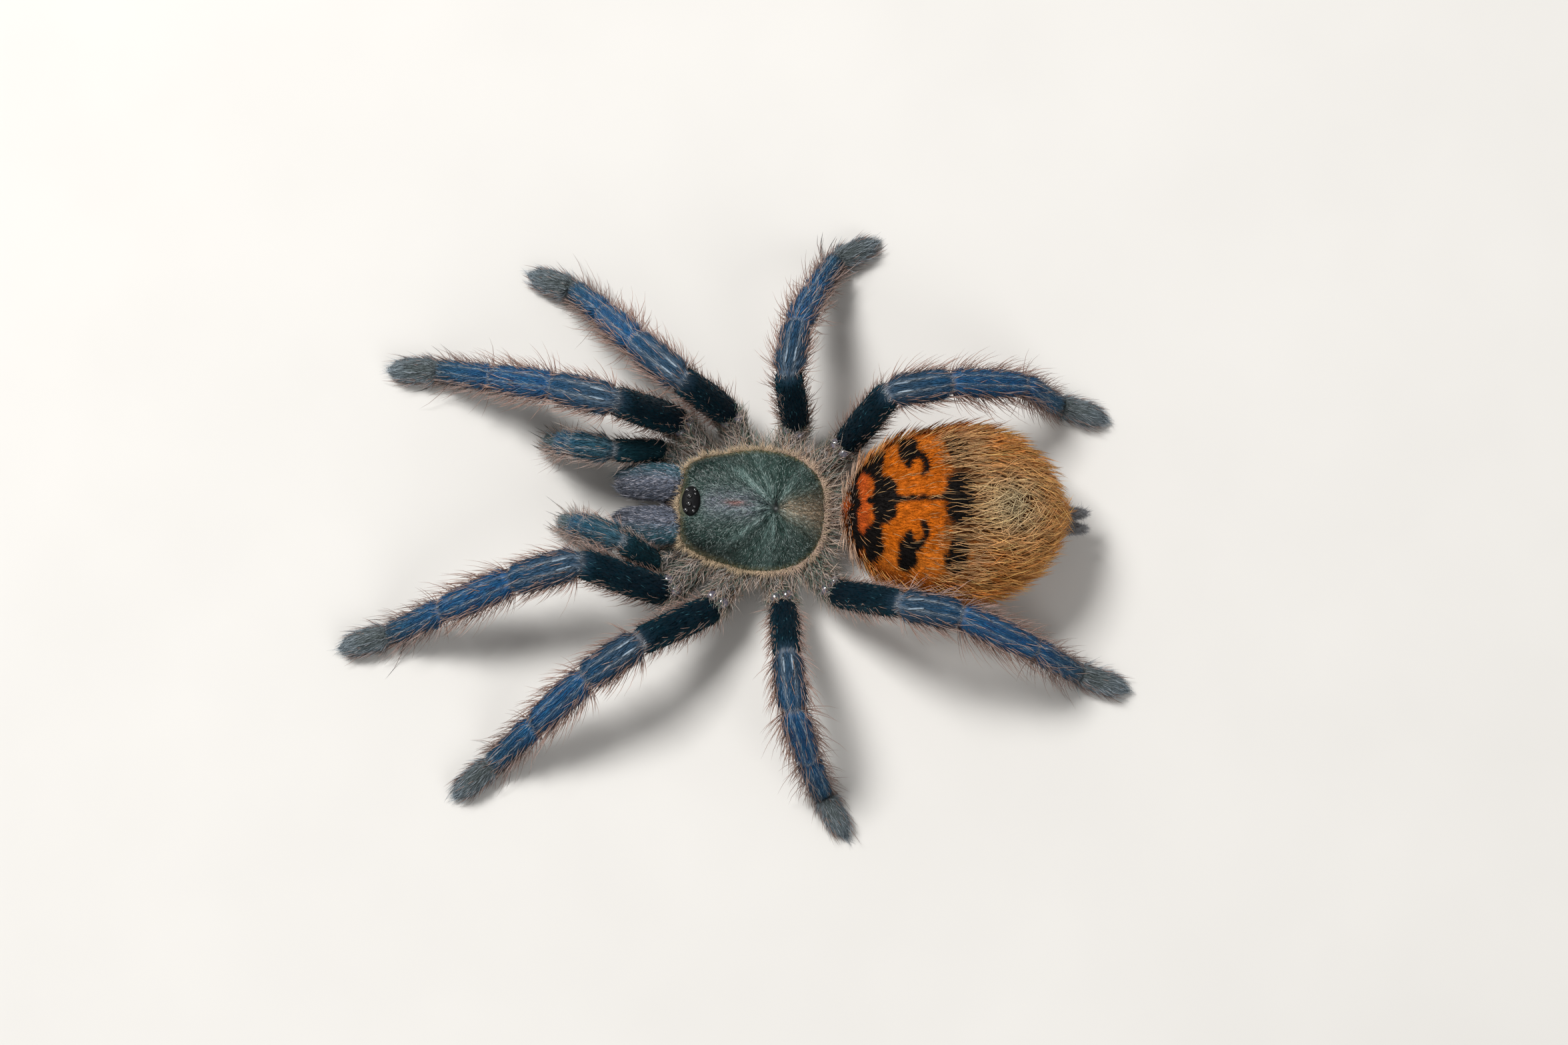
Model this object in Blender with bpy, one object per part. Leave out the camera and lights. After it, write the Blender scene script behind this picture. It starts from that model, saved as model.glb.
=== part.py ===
"""A young greenbottle blue tarantula at life size, as a still museum model.

The head faces -Y, the spider's left side is +X, and the feet stand on Z = 0.
The body is a carapace over a sternum, with the legs' coxae between them, then
a narrow pedicel and the abdomen. Each limb is one bent tube, parted at its
joints by thin mitre cuts. The solids reach out to the short coat's surface.
"""

import math

import bmesh
import bpy
from mathutils import Vector

MM = 0.001
UP = Vector((0, 0, 1))

# Driving dimensions.
CARAPACE_LENGTH = 11.5 * MM
CARAPACE_WIDTH = 9.9 * MM
ABDOMEN_LENGTH = 17.9 * MM
ABDOMEN_WIDTH = 14.2 * MM
ABDOMEN_HEIGHT = 11.4 * MM
CUT = 0.2 * MM  # the gap that parts two pieces

# The front half of the body, from its own centre on the floor.
CARAPACE_FLOOR = 4.15 * MM
CARAPACE_LIP = 0.3 * MM
CARAPACE_RISE = 2.3 * MM
FOVEA = Vector((0, 0.16 * CARAPACE_LENGTH, 0))
FOVEA_DEPTH = 0.55 * MM
SOLE_AXIS = 0.87 * MM  # height of a foot's centreline over the floor
HIP_HEIGHT = 3.4 * MM

# Limb sections.
LIMB_SIDES = 10
MITRE_REACH = 2.4 * MM  # length over which a tilted cut fades into a square section

# Lengths of femur, patella, tibia, metatarsus and tarsus, as shares of the carapace.
LEG_SHARES = {
    1: (0.77, 0.49, 0.575, 0.50, 0.345),
    2: (0.70, 0.445, 0.515, 0.475, 0.335),
    3: (0.63, 0.40, 0.465, 0.475, 0.32),
    4: (0.73, 0.42, 0.62, 0.60, 0.335),
}
LEG_GIRTH = {1: 1.0, 2: 0.96, 3: 0.9, 4: 0.94}
# Where each leg's coxa meets the sternum, and its hip at the coxa's outer end.
LEG_ROOTS = {1: (2.5, -2.15), 2: (2.95, -0.3), 3: (2.85, 1.55), 4: (2.05, 3.2)}
LEG_HIPS = {1: (6.95, -6.4), 2: (7.9, -2.5), 3: (7.35, 3.0), 4: (6.05, 7.1)}
# Each leg's headings, in degrees from straight ahead towards the spider's left,
# and the pitches of femur, patella and tibia. The metatarsus reaches the floor.
LEG_POSES = {
    "leg_1_l": ((-9, 17, 23, 22, 20), (38, -15, -27)),
    "leg_1_r": ((1, -14, -13, -12, 4), (56, -24, -39)),
    "leg_2_l": ((34, 37, 43, 43, 44), (33, -10, -28)),
    "leg_2_r": ((-16, -38, -47, -45, -14), (61, -14, -47)),
    "leg_3_l": ((96, 100, 114, 123, 124), (50, 8, -48)),
    "leg_3_r": ((-71, -96, -109, -113, -153), (66, -19, -45)),
    "leg_4_l": ((163, 174, 164, 166, 167), (52, -6, -26)),
    "leg_4_r": ((-135, -167, -170, -186, -192), (59, 2, -33)),
}
# The palps lack a metatarsus: femur, patella, tibia and tarsus.
PALP_SHARES = (0.46, 0.30, 0.29, 0.29)
PALP_GIRTH = 0.7
PALP_ROOT = (1.8, -3.5)
PALP_HIP = (4.58, -7.4)
PALP_HIP_HEIGHT = 3.1 * MM
PALP_TIP_AXIS = 0.5 * MM
PALP_POSES = {
    "palp_l": ((-18, -20, -34, -35), (58, -15, -75)),
    "palp_r": ((13, -5, -33, -32), (40, 3, -73)),
}

# Half width and half height of each kind of segment, and how it swells along
# its length: pairs of share along the axis and share of that girth.
SECTIONS = {
    "femur": (1.36 * MM, 1.42 * MM, ((0, 0.8), (0.14, 0.97), (0.4, 1.04), (0.68, 1.0), (0.88, 0.98), (1, 0.88))),
    "patella": (1.36 * MM, 1.30 * MM, ((0, 0.86), (0.2, 1.0), (0.5, 1.04), (0.8, 0.98), (1, 0.84))),
    "tibia": (1.26 * MM, 1.22 * MM, ((0, 0.86), (0.14, 0.98), (0.42, 1.03), (0.72, 0.97), (0.9, 0.93), (1, 0.84))),
    "metatarsus": (1.06 * MM, 1.02 * MM, ((0, 0.94), (0.16, 1.02), (0.5, 0.97), (0.84, 0.92), (1, 0.9))),
    "tarsus": (1.0 * MM, 0.95 * MM, ((0, 0.95), (0.2, 1.06), (0.5, 1.1), (0.78, 1.0), (0.93, 0.72), (1, 0.4))),
}


# --- helpers -----------------------------------------------------------------


def clear_scene():
    for old in list(bpy.data.objects):
        bpy.data.objects.remove(old, do_unlink=True)


def finish_material(name, colour, roughness):
    """A Principled material in the part's own colour."""
    material = bpy.data.materials.new(name)
    material.use_nodes = True
    shader = material.node_tree.nodes["Principled BSDF"]
    shader.inputs["Base Color"].default_value = (*colour, 1)
    shader.inputs["Roughness"].default_value = roughness
    shader.inputs["Metallic"].default_value = 0.0
    return material


def add_part(name, bm, at, material):
    """Turns a bmesh whose points are measured from at into a named part there."""
    bm.normal_update()
    bmesh.ops.recalc_face_normals(bm, faces=bm.faces)
    mesh = bpy.data.meshes.new(name)
    bm.to_mesh(mesh)
    bm.free()
    mesh.shade_smooth()
    mesh.set_sharp_from_angle(angle=math.radians(50))
    mesh.materials.append(material)
    part = bpy.data.objects.new(name, mesh)
    part.location = at
    part.parent = body
    parts.objects.link(part)
    return part


def toward(heading, pitch):
    """The unit vector at a heading from straight ahead and a pitch above level."""
    h, p = math.radians(heading), math.radians(pitch)
    return Vector((math.sin(h) * math.cos(p), -math.cos(h) * math.cos(p), math.sin(p)))


def section(centre, axis, half_width, half_height, sides=LIMB_SIDES):
    """An ellipse of points square to the axis, level across."""
    across = axis.cross(UP).normalized()
    over = across.cross(axis)
    turns = [2 * math.pi * k / sides for k in range(sides)]
    return [
        centre + across * (half_width * math.cos(a)) + over * (half_height * math.sin(a))
        for a in turns
    ]


def loft(sections, origin):
    """A closed skin through a row of sections with equal numbers of points."""
    bm = bmesh.new()
    loops = [[bm.verts.new(p - origin) for p in points] for points in sections]
    for low, high in zip(loops, loops[1:]):
        for k in range(len(low)):
            bm.faces.new((low[k - 1], low[k], high[k], high[k - 1]))
    bm.faces.new(loops[0])
    bm.faces.new(loops[-1])
    return bm


def mitre(points, centre, axis, joint, normal, fade):
    """Slides points along the axis towards a tilted plane through the joint."""
    return [
        p - axis * (fade * (p - centre).dot(normal) / axis.dot(normal)) for p in points
    ]


def segment_sections(kind, start, end, girth, start_normal=None, end_normal=None):
    """Sections of one limb segment, mitred where a normal says how its end is cut."""
    half_width, half_height, swell = SECTIONS[kind]
    axis = (end - start).normalized()
    length = (end - start).length
    found = []
    for share, size in swell:
        along = share * length
        centre = start + axis * along
        points = section(centre, axis, half_width * girth * size, half_height * girth * size)
        for normal, gone in ((start_normal, along), (end_normal, length - along)):
            if normal is not None:
                fade = max(0.0, 1 - gone / MITRE_REACH)
                points = mitre(points, centre, axis, start, normal, fade)
        found.append(points)
    return found


def pulled_back(points, axis, distance):
    return [p + axis * distance for p in points]


def part_ends(sections, axis, start_gap, end_gap):
    """Moves the two end sections inwards, which leaves the thin cuts between segments."""
    sections[0] = pulled_back(sections[0], axis, start_gap)
    sections[-1] = pulled_back(sections[-1], axis, -end_gap)
    return sections


def on_floor(sections):
    """Flattens whatever would sink below the floor, which gives a foot its sole."""
    return [[Vector((p.x, p.y, max(p.z, 0.0))) for p in points] for points in sections]


# --- limbs -------------------------------------------------------------------


def limb_joints(hip, lengths, headings, pitches, last_axis_height):
    """The joints of a limb from its hip to its tip. Past the listed pitches one segment
    slants down to the height given, and a last one, if there is one, lies level."""
    joints = [hip]
    for length, heading, pitch in zip(lengths, headings, pitches):
        joints.append(joints[-1] + toward(heading, pitch) * length)
    for length, heading in list(zip(lengths, headings))[len(pitches):]:
        drop = (last_axis_height - joints[-1].z) / length
        pitch = math.degrees(math.asin(max(-1.0, min(1.0, drop))))
        joints.append(joints[-1] + toward(heading, pitch) * length)
    return joints


def mitre_normals(joints):
    """For each inner joint, the direction halfway between its two segments."""
    axes = [(b - a).normalized() for a, b in zip(joints, joints[1:])]
    return [None] + [(a + b).normalized() for a, b in zip(axes, axes[1:])] + [None]


def build_limb(name, root, joints, kinds, girth, colours):
    """Parts of one limb: its coxa, then one part for each kind, the last of which
    may hold two kinds joined at the ankle."""
    line = [root, *joints]
    normals = mitre_normals(line)
    axis = (line[1] - line[0]).normalized()
    coxa = coxa_sections(line[0], line[1], girth, normals[1])
    add_part(name + "_coxa", loft(part_ends(coxa, axis, 0.0, CUT / 2), root), root, colours["coxa"])
    step = 1
    for label, members in kinds:
        found = []
        start = line[step]
        for kind in members:
            a, b = line[step], line[step + 1]
            made = segment_sections(kind, a, b, girth, normals[step], normals[step + 1])
            axis = (b - a).normalized()
            ends = (CUT / 2 if not found else 0.0, CUT / 2 if kind == members[-1] else 0.0)
            made = part_ends(made, axis, *ends)
            found += made[1:] if found else made
            step += 1
        add_part(f"{name}_{label}", loft(on_floor(found), start), start, colours[label])


def coxa_sections(root, hip, girth, hip_normal):
    """A coxa widens from the sternum, and narrows where the short trochanter begins."""
    inner_width, inner_height = 0.74 * MM, 0.88 * MM
    outer_width, outer_height = 1.22 * MM * girth, 1.16 * MM * girth
    axis = (hip - root).normalized()
    length = (hip - root).length
    found = []
    for share, size in ((0, 0.85), (0.14, 1.0), (0.45, 1.04), (0.68, 0.98), (0.76, 0.9), (0.9, 0.99), (1, 0.9)):
        centre = root.lerp(hip, share)
        wide = inner_width + (outer_width - inner_width) * share
        tall = inner_height + (outer_height - inner_height) * share
        points = section(centre, axis, wide * size, tall * size)
        fade = max(0.0, 1 - (1 - share) * length / MITRE_REACH)
        found.append(mitre(points, centre, axis, hip, hip_normal, fade))
    return found


def build_legs(colours):
    segments = (
        ("femur", ("femur",)),
        ("patella", ("patella",)),
        ("tibia", ("tibia",)),
        ("foot", ("metatarsus", "tarsus")),
    )
    for name, (headings, pitches) in LEG_POSES.items():
        number, side = int(name[4]), 1 if name.endswith("l") else -1
        root = Vector((side * LEG_ROOTS[number][0] * MM, LEG_ROOTS[number][1] * MM, 2.75 * MM))
        hip = Vector((side * LEG_HIPS[number][0] * MM, LEG_HIPS[number][1] * MM, HIP_HEIGHT))
        lengths = [share * CARAPACE_LENGTH for share in LEG_SHARES[number]]
        joints = limb_joints(hip, lengths, headings, pitches, SOLE_AXIS * LEG_GIRTH[number])
        build_limb(name, root, joints, segments, LEG_GIRTH[number], colours)


def build_palps(colours):
    segments = (
        ("femur", ("femur",)),
        ("patella", ("patella",)),
        ("foot", ("tibia", "tarsus")),
    )
    for name, (headings, pitches) in PALP_POSES.items():
        side = 1 if name.endswith("l") else -1
        root = Vector((side * PALP_ROOT[0] * MM, PALP_ROOT[1] * MM, 2.15 * MM))
        hip = Vector((side * PALP_HIP[0] * MM, PALP_HIP[1] * MM, PALP_HIP_HEIGHT))
        lengths = [share * CARAPACE_LENGTH for share in PALP_SHARES]
        joints = limb_joints(hip, lengths, headings, pitches, PALP_TIP_AXIS)
        build_limb(name, root, joints, segments, PALP_GIRTH, colours)


# --- front half of the body ----------------------------------------------------


def carapace_outline(turn):
    """The carapace's edge: cut square in front, widest past the middle, round behind,
    with a shallow notch over the waist."""
    ahead, aside = math.cos(turn), math.sin(turn)
    squareness = 0.22 if ahead > 0 else 0.62
    along = -math.copysign(abs(ahead) ** squareness, ahead)
    narrowing = 0.29 * max(0.0, -along) ** 1.3 + 0.06 * max(0.0, along) ** 2
    across = math.copysign(abs(aside) ** squareness, aside) * (1 - narrowing)
    notch = 0.04 * max(0.0, -ahead) ** 20
    return Vector((0.5 * CARAPACE_WIDTH * across, 0.5 * CARAPACE_LENGTH * (along - notch), 0))


def carapace_top(share, turn):
    """Height of the shell at a share of the way from the fovea to the edge. The head
    end stays high right up to its front, and the rest slopes away to sides and back."""
    steepness = 2.3 + 58 * max(0.0, math.cos(turn)) ** 3
    pit = FOVEA_DEPTH * math.exp(-((share / 0.11) ** 2))
    return CARAPACE_FLOOR + CARAPACE_LIP + CARAPACE_RISE * (1 - share**steepness) - pit


def build_carapace(material):
    """Rings of the outline, drawn in towards the fovea."""
    turns = [2 * math.pi * k / 28 for k in range(28)]

    def ring(share, height_of):
        spots = [(FOVEA.lerp(carapace_outline(turn), share), height_of(share, turn)) for turn in turns]
        return [Vector((spot.x, spot.y, height)) for spot, height in spots]

    sections = [ring(1.0, lambda share, turn: CARAPACE_FLOOR)]
    sections += [ring(share, carapace_top) for share in (1.0, 0.965, 0.88, 0.7, 0.45, 0.2, 0.04)]
    return add_part("carapace", loft(sections, FOVEA), FOVEA, material)


def build_eye_turret(material):
    """The low oval mound near the front edge, with the eight eyes joined to it."""
    centre = Vector((0, -0.425 * CARAPACE_LENGTH, CARAPACE_FLOOR + CARAPACE_LIP + CARAPACE_RISE + 0.05 * MM))
    mound = Vector((1.22, 0.74, 0.5)) * MM
    # Each pair: sideways and forward place, radius.
    eyes = ((0.31, 0.14, 0.21), (0.80, 0.34, 0.20), (0.84, -0.24, 0.17), (0.52, -0.30, 0.12))
    bm = bmesh.new()
    bmesh.ops.create_uvsphere(bm, u_segments=14, v_segments=8, radius=1)
    bmesh.ops.scale(bm, vec=mound, verts=bm.verts)
    whole = bm.verts[:] + bm.edges[:] + bm.faces[:]
    cut = bmesh.ops.bisect_plane(bm, geom=whole, dist=1e-7, plane_co=(0, 0, 0), plane_no=(0, 0, 1), clear_inner=True)
    rim = [e for e in cut["geom_cut"] if isinstance(e, bmesh.types.BMEdge)]
    bmesh.ops.contextual_create(bm, geom=rim)
    turret = add_part("eye_turret", bm, centre, material)
    for place, (aside, ahead, radius) in enumerate(eyes):
        for side in (-1, 1):
            ball = bmesh.new()
            bmesh.ops.create_uvsphere(ball, u_segments=8, v_segments=6, radius=radius * MM)
            height = mound.z * math.sqrt(1 - (aside * MM / mound.x) ** 2 - (ahead * MM / mound.y) ** 2)
            at = centre + Vector((side * aside * MM, -ahead * MM, height))
            eye = add_part(f"eye_cutter_{place}_{side}", ball, at, material)
            parts.objects.unlink(eye)
            tools.objects.link(eye)
            eye.hide_render = True
            eye.display_type = "WIRE"
            join = turret.modifiers.new(f"eye {place} {side}", "BOOLEAN")
            join.operation = "UNION"
            join.object = eye
    return turret


def build_sternum(material):
    """The plate between the coxae, with the labium as its narrow front end."""
    centre = Vector((0, 0.1 * MM, 0))
    half_width, half_length = 2.2 * MM, 2.95 * MM
    sections = []
    for height, share in ((1.75, 0.72), (1.95, 0.93), (2.5, 1.0), (3.3, 1.0), (3.9, 0.9)):
        points = []
        for k in range(20):
            turn = 2 * math.pi * k / 20
            ahead = math.cos(turn)
            x = half_width * math.sin(turn) * (1 - 0.22 * max(0.0, ahead) ** 2 - 0.12 * max(0.0, -ahead) ** 2)
            y = -half_length * ahead * (1 + 0.16 * max(0.0, ahead) ** 6)
            points.append(centre + Vector((x * share, y * share, height * MM)))
        sections.append(points)
    return add_part("sternum", loft(sections, centre), centre, material)


def build_chelicerae(material):
    """Each basal segment is a deep oval that bulges in front of the carapace and
    droops to the fang's hinge. Stations: place ahead of the base, centre height,
    sideways place, half width and half height."""
    stations = (
        (4.75, 3.35, 1.4, 0.75, 0.4),
        (5.75, 3.4, 1.52, 1.1, 0.6),
        (6.12, 4.5, 1.68, 1.4, 1.4),
        (6.75, 4.62, 1.74, 1.57, 1.64),
        (7.8, 4.48, 1.74, 1.58, 1.7),
        (8.8, 4.2, 1.71, 1.52, 1.66),
        (9.6, 3.8, 1.7, 1.36, 1.48),
        (10.15, 3.4, 1.66, 1.02, 1.1),
        (10.45, 3.15, 1.64, 0.6, 0.65),
    )
    for name, side in (("chelicera_l", 1), ("chelicera_r", -1)):
        hinge = Vector((side * 1.7 * MM, -6 * MM, 4.5 * MM))
        sections = []
        for ahead, height, aside, wide, tall in stations:
            centre = Vector((side * aside, -ahead, height)) * MM
            tilt = -40 * max(0.0, (ahead - 7.8) / 2.65)
            sections.append(section(centre, toward(0, tilt), wide * MM, tall * MM, 12))
        add_part(name, loft(sections, hinge), hinge, material)


def build_fangs(material):
    """Curved black points folded back under the chelicerae."""
    for name, side in (("fang_l", 1), ("fang_r", -1)):
        hinge = Vector((side * 1.5, -9.95, 1.72)) * MM
        data = bpy.data.curves.new(name, "CURVE")
        data.dimensions = "3D"
        data.bevel_depth = 0.46 * MM
        data.bevel_resolution = 2
        data.use_fill_caps = True
        line = data.splines.new("POLY")
        steps = 7
        line.points.add(steps - 1)
        for k, point in enumerate(line.points):
            share = k / (steps - 1)
            bend = math.radians(78) * share
            back = 3.3 * MM * math.sin(bend)
            drop = 0.75 * MM * math.sin(math.pi * share * 0.62)
            point.co = (-side * 0.55 * MM * share, back, -drop, 1)
            point.radius = 1 - 0.7 * share
        data.materials.append(material)
        fang = bpy.data.objects.new(name, data)
        fang.location = hinge
        fang.parent = body
        parts.objects.link(fang)


# --- back half of the body -----------------------------------------------------


def build_pedicel(material):
    """The narrow waist, from under the carapace to the abdomen."""
    start, end = Vector((0, 3.3 * MM, 3.15 * MM)), Vector((-0.05 * MM, 7.15 * MM, 3.7 * MM))
    axis = (end - start).normalized()
    sections = [
        section(start.lerp(end, share), axis, 0.95 * MM * size, 0.72 * MM * size)
        for share, size in ((0, 0.8), (0.2, 1.0), (0.5, 0.85), (0.75, 0.8), (0.92, 0.95), (1, 0.7))
    ]
    return add_part("pedicel", loft(sections, start), start, material)


def build_abdomen(material):
    """An egg, widest behind its middle and flatter below, out to the coat's surface."""
    centre = Vector((-0.5, 16.05, 6.35)) * MM
    bm = bmesh.new()
    bmesh.ops.create_uvsphere(bm, u_segments=22, v_segments=15, radius=1)
    for v in bm.verts:
        # The sphere's poles become the front and back ends.
        v.co = Vector((v.co.x, -v.co.z, v.co.y))
        along = v.co.y
        fuller = 1 + 0.07 * along - 0.05 * along**2
        v.co.x *= 0.5 * ABDOMEN_WIDTH * fuller
        v.co.z *= 0.5 * ABDOMEN_HEIGHT * fuller * (0.93 if v.co.z < 0 else 1.0)
        v.co.y *= 0.5 * ABDOMEN_LENGTH
    abdomen = add_part("abdomen", bm, centre, material)
    abdomen.rotation_euler = (0, 0, math.radians(3.5))
    return abdomen


def build_spinnerets(material):
    """The two long hind spinnerets, each of three short lengths, trailing behind."""
    for name, side in (("spinneret_l", 1), ("spinneret_r", -1)):
        start = Vector((-1.0 + 0.52 * side, 24.35, 3.8)) * MM
        end = Vector((-1.25 + 0.75 * side, 28.2, 3.45)) * MM
        axis = (end - start).normalized()
        swell = ((0, 0.9), (0.18, 1.0), (0.36, 0.86), (0.42, 0.9), (0.6, 0.92), (0.68, 0.78), (0.9, 0.72), (1, 0.4))
        sections = [
            section(start.lerp(end, share), axis, 0.44 * MM * size, 0.42 * MM * size, 8)
            for share, size in swell
        ]
        add_part(name, loft(sections, start), start, material)


def stand_over_origin():
    """Moves the whole model so that its outline is centred over the origin."""
    bpy.context.view_layer.update()
    corners = [part.matrix_world @ Vector(c) for part in parts.objects for c in part.bound_box]
    middle = [(min(c[k] for c in corners) + max(c[k] for c in corners)) / 2 for k in (0, 1)]
    body.location = (-middle[0], -middle[1], 0)


clear_scene()
parts = bpy.data.collections.new("tarantula")
tools = bpy.data.collections.new("joining shapes")
bpy.context.scene.collection.children.link(parts)
bpy.context.scene.collection.children.link(tools)
body = bpy.data.objects.new("body", None)
parts.objects.link(body)

shell = finish_material("carapace green", (0.045, 0.085, 0.07), 0.45)
grey_hair = finish_material("grey hair", (0.25, 0.22, 0.2), 0.75)
jaw = finish_material("jaw grey", (0.12, 0.12, 0.16), 0.55)
black_shine = finish_material("black shine", (0.008, 0.008, 0.01), 0.12)
orange_coat = finish_material("orange coat", (0.55, 0.2, 0.04), 0.8)
dark_coat = finish_material("dark thigh coat", (0.01, 0.03, 0.06), 0.7)
blue_coat = finish_material("blue leg coat", (0.05, 0.1, 0.24), 0.7)
foot_coat = finish_material("foot coat", (0.09, 0.12, 0.18), 0.8)

limb_colours = {
    "coxa": grey_hair,
    "femur": dark_coat,
    "patella": blue_coat,
    "tibia": blue_coat,
    "foot": foot_coat,
}
build_carapace(shell)
build_eye_turret(black_shine)
build_sternum(grey_hair)
build_chelicerae(jaw)
build_fangs(black_shine)
build_pedicel(grey_hair)
build_abdomen(orange_coat)
build_spinnerets(grey_hair)
build_legs(limb_colours)
build_palps(limb_colours)
stand_over_origin()
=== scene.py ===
# %% [markdown]
# # Dressing a greenbottle blue tarantula
# A museum model of a spider is mostly hair. The plain solids already give every part's
# place and size. Here they get a skin that lies a little inside them, and a coat of
# small solid hairs that grows from the skin out to where the solids end.

import math

import bmesh
import bpy
import numpy as np
from mathutils import Matrix, Vector


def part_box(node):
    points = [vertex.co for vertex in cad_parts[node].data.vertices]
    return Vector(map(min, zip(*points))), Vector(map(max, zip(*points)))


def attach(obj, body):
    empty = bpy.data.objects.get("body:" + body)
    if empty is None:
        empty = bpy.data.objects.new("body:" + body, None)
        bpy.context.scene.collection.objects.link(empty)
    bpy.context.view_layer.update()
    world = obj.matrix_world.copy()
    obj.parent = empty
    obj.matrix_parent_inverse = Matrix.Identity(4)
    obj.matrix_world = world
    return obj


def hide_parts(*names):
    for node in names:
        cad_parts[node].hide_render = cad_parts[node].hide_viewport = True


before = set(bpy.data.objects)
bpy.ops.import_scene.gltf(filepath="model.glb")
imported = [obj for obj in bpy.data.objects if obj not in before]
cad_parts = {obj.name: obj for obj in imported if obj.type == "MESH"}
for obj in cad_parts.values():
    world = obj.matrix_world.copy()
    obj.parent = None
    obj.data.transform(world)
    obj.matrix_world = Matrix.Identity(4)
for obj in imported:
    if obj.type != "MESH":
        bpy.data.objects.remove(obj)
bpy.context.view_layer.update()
MM = 0.001
UP = np.array([0.0, 0.0, 1.0])


# %% [markdown]
# ## The camera
# The spider is seen from almost straight above, with its head to the left. A long lens
# keeps the near and far legs at the same scale. The camera's place is worked out from
# the middle of the carapace, the shield over the front half of the body.

# %% Place the camera
CAMERA_DISTANCE = 447 * MM
CAMERA_LENS = 129
CAMERA_HEIGHT_ANGLE = math.radians(80)
CAMERA_ROLL = math.radians(4)
shell_low, shell_high = (np.array(corner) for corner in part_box("carapace"))
SHELL_LENGTH = 11.5 * MM
AIM_PAST_SHELL = np.array([0.722, 2.569, 4.0]) * MM  # from the shell's middle to what the camera faces
shell_middle = np.array([(shell_low[0] + shell_high[0]) / 2, shell_low[1] + SHELL_LENGTH / 2, 0])
aim = shell_middle + AIM_PAST_SHELL

back = np.array([math.cos(CAMERA_HEIGHT_ANGLE), 0, math.sin(CAMERA_HEIGHT_ANGLE)])
level_right = np.array([0.0, 1.0, 0.0])
level_up = np.cross(back, level_right)
right = math.cos(CAMERA_ROLL) * level_right + math.sin(CAMERA_ROLL) * level_up
above = np.cross(back, right)
camera_data = bpy.data.cameras.new("camera")
camera_data.lens = CAMERA_LENS
camera_data.sensor_width = 36
camera_data.clip_start = 0.01
camera_data.clip_end = 20
camera = bpy.data.objects.new("camera", camera_data)
place = aim + back * CAMERA_DISTANCE
turned = [[right[k], above[k], back[k], place[k]] for k in range(3)]
camera.matrix_world = Matrix([*turned, [0, 0, 0, 1]])
bpy.context.collection.objects.link(camera)
bpy.context.scene.camera = camera
print("camera at", [round(c, 4) for c in place])

# %% [markdown]
# ## Materials
# Every surface is a node material, made by rule from noise, so that it needs no picture
# and stays sharp at any size. The helpers below each add one small step: a noise, a mix
# of two colours, a shade, a bump. Surfaces with hair read their colours from the mesh.


# %% Helpers for node materials
def paint(red, green, blue):
    """A screen colour from 0 to 255, as linear light."""
    shade = np.array([red, green, blue]) / 255
    return np.where(shade <= 0.04045, shade / 12.92, ((shade + 0.055) / 1.055) ** 2.4)


def new_material(name, roughness=0.5, metallic=0.0, specular=0.5, sheen=0.0, coat=0.0):
    """A material with its shader, and short ways to add and to link nodes."""
    material = bpy.data.materials.new(name)
    material.use_nodes = True
    nodes, links = material.node_tree.nodes, material.node_tree.links
    shader = nodes["Principled BSDF"]
    shader.inputs["Roughness"].default_value = roughness
    shader.inputs["Metallic"].default_value = metallic
    shader.inputs["Specular IOR Level"].default_value = specular
    shader.inputs["Sheen Weight"].default_value = sheen
    shader.inputs["Coat Weight"].default_value = coat
    shader.inputs["Coat Roughness"].default_value = 0.12
    return material, nodes, links, shader


def own_place(nodes):
    """Where each point lies on its own piece."""
    return nodes.new("ShaderNodeTexCoord").outputs["Object"]


def stored(nodes, name, kind="Color"):
    """A value that the mesh itself carries, point by point."""
    carried = nodes.new("ShaderNodeAttribute")
    carried.attribute_name = name
    return carried.outputs[kind]


def between(nodes, links, share, low, high):
    """A mix from one colour to another."""
    mix = nodes.new("ShaderNodeMix")
    mix.data_type = "RGBA"
    mix.inputs["A"].default_value = (*low, 1)
    mix.inputs["B"].default_value = (*high, 1)
    links.new(share, mix.inputs["Factor"])
    return mix.outputs["Result"]


def grain(nodes, links, where, scale, stretch=(1, 1, 1), detail=3.0):
    """Noise on a coordinate, longer one way where stretch says so."""
    mapping = nodes.new("ShaderNodeMapping")
    mapping.inputs["Scale"].default_value = stretch
    noise = nodes.new("ShaderNodeTexNoise")
    noise.inputs["Scale"].default_value = scale
    noise.inputs["Detail"].default_value = detail
    links.new(where, mapping.inputs["Vector"])
    links.new(mapping.outputs["Vector"], noise.inputs["Vector"])
    return noise.outputs["Fac"]


def spread(nodes, links, value, low, high):
    """Stretches the middle of a noise to run from low to high."""
    reach = nodes.new("ShaderNodeMapRange")
    reach.inputs["From Min"].default_value = 0.3
    reach.inputs["From Max"].default_value = 0.7
    reach.inputs["To Min"].default_value = low
    reach.inputs["To Max"].default_value = high
    links.new(value, reach.inputs["Value"])
    return reach.outputs["Result"]


def shade_by(nodes, links, colour, value):
    """Makes a colour lighter or darker by a value round 1."""
    times = nodes.new("ShaderNodeVectorMath")
    times.operation = "SCALE"
    links.new(colour, times.inputs[0])
    links.new(value, times.inputs["Scale"])
    return times.outputs["Vector"]


def bump(nodes, links, value, shader, strength, distance):
    """Raises the surface where a value is high."""
    raised = nodes.new("ShaderNodeBump")
    raised.inputs["Strength"].default_value = strength
    raised.inputs["Distance"].default_value = distance
    links.new(value, raised.inputs["Height"])
    links.new(raised.outputs["Normal"], shader.inputs["Normal"])


# %% [markdown]
# ## Floor and light
# A pale floor with a very faint grain, one broad soft light high on the head's side,
# and a weaker one opposite it. Small animals look best under lights that are large
# beside them, because the hairs then shade each other softly.

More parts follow.
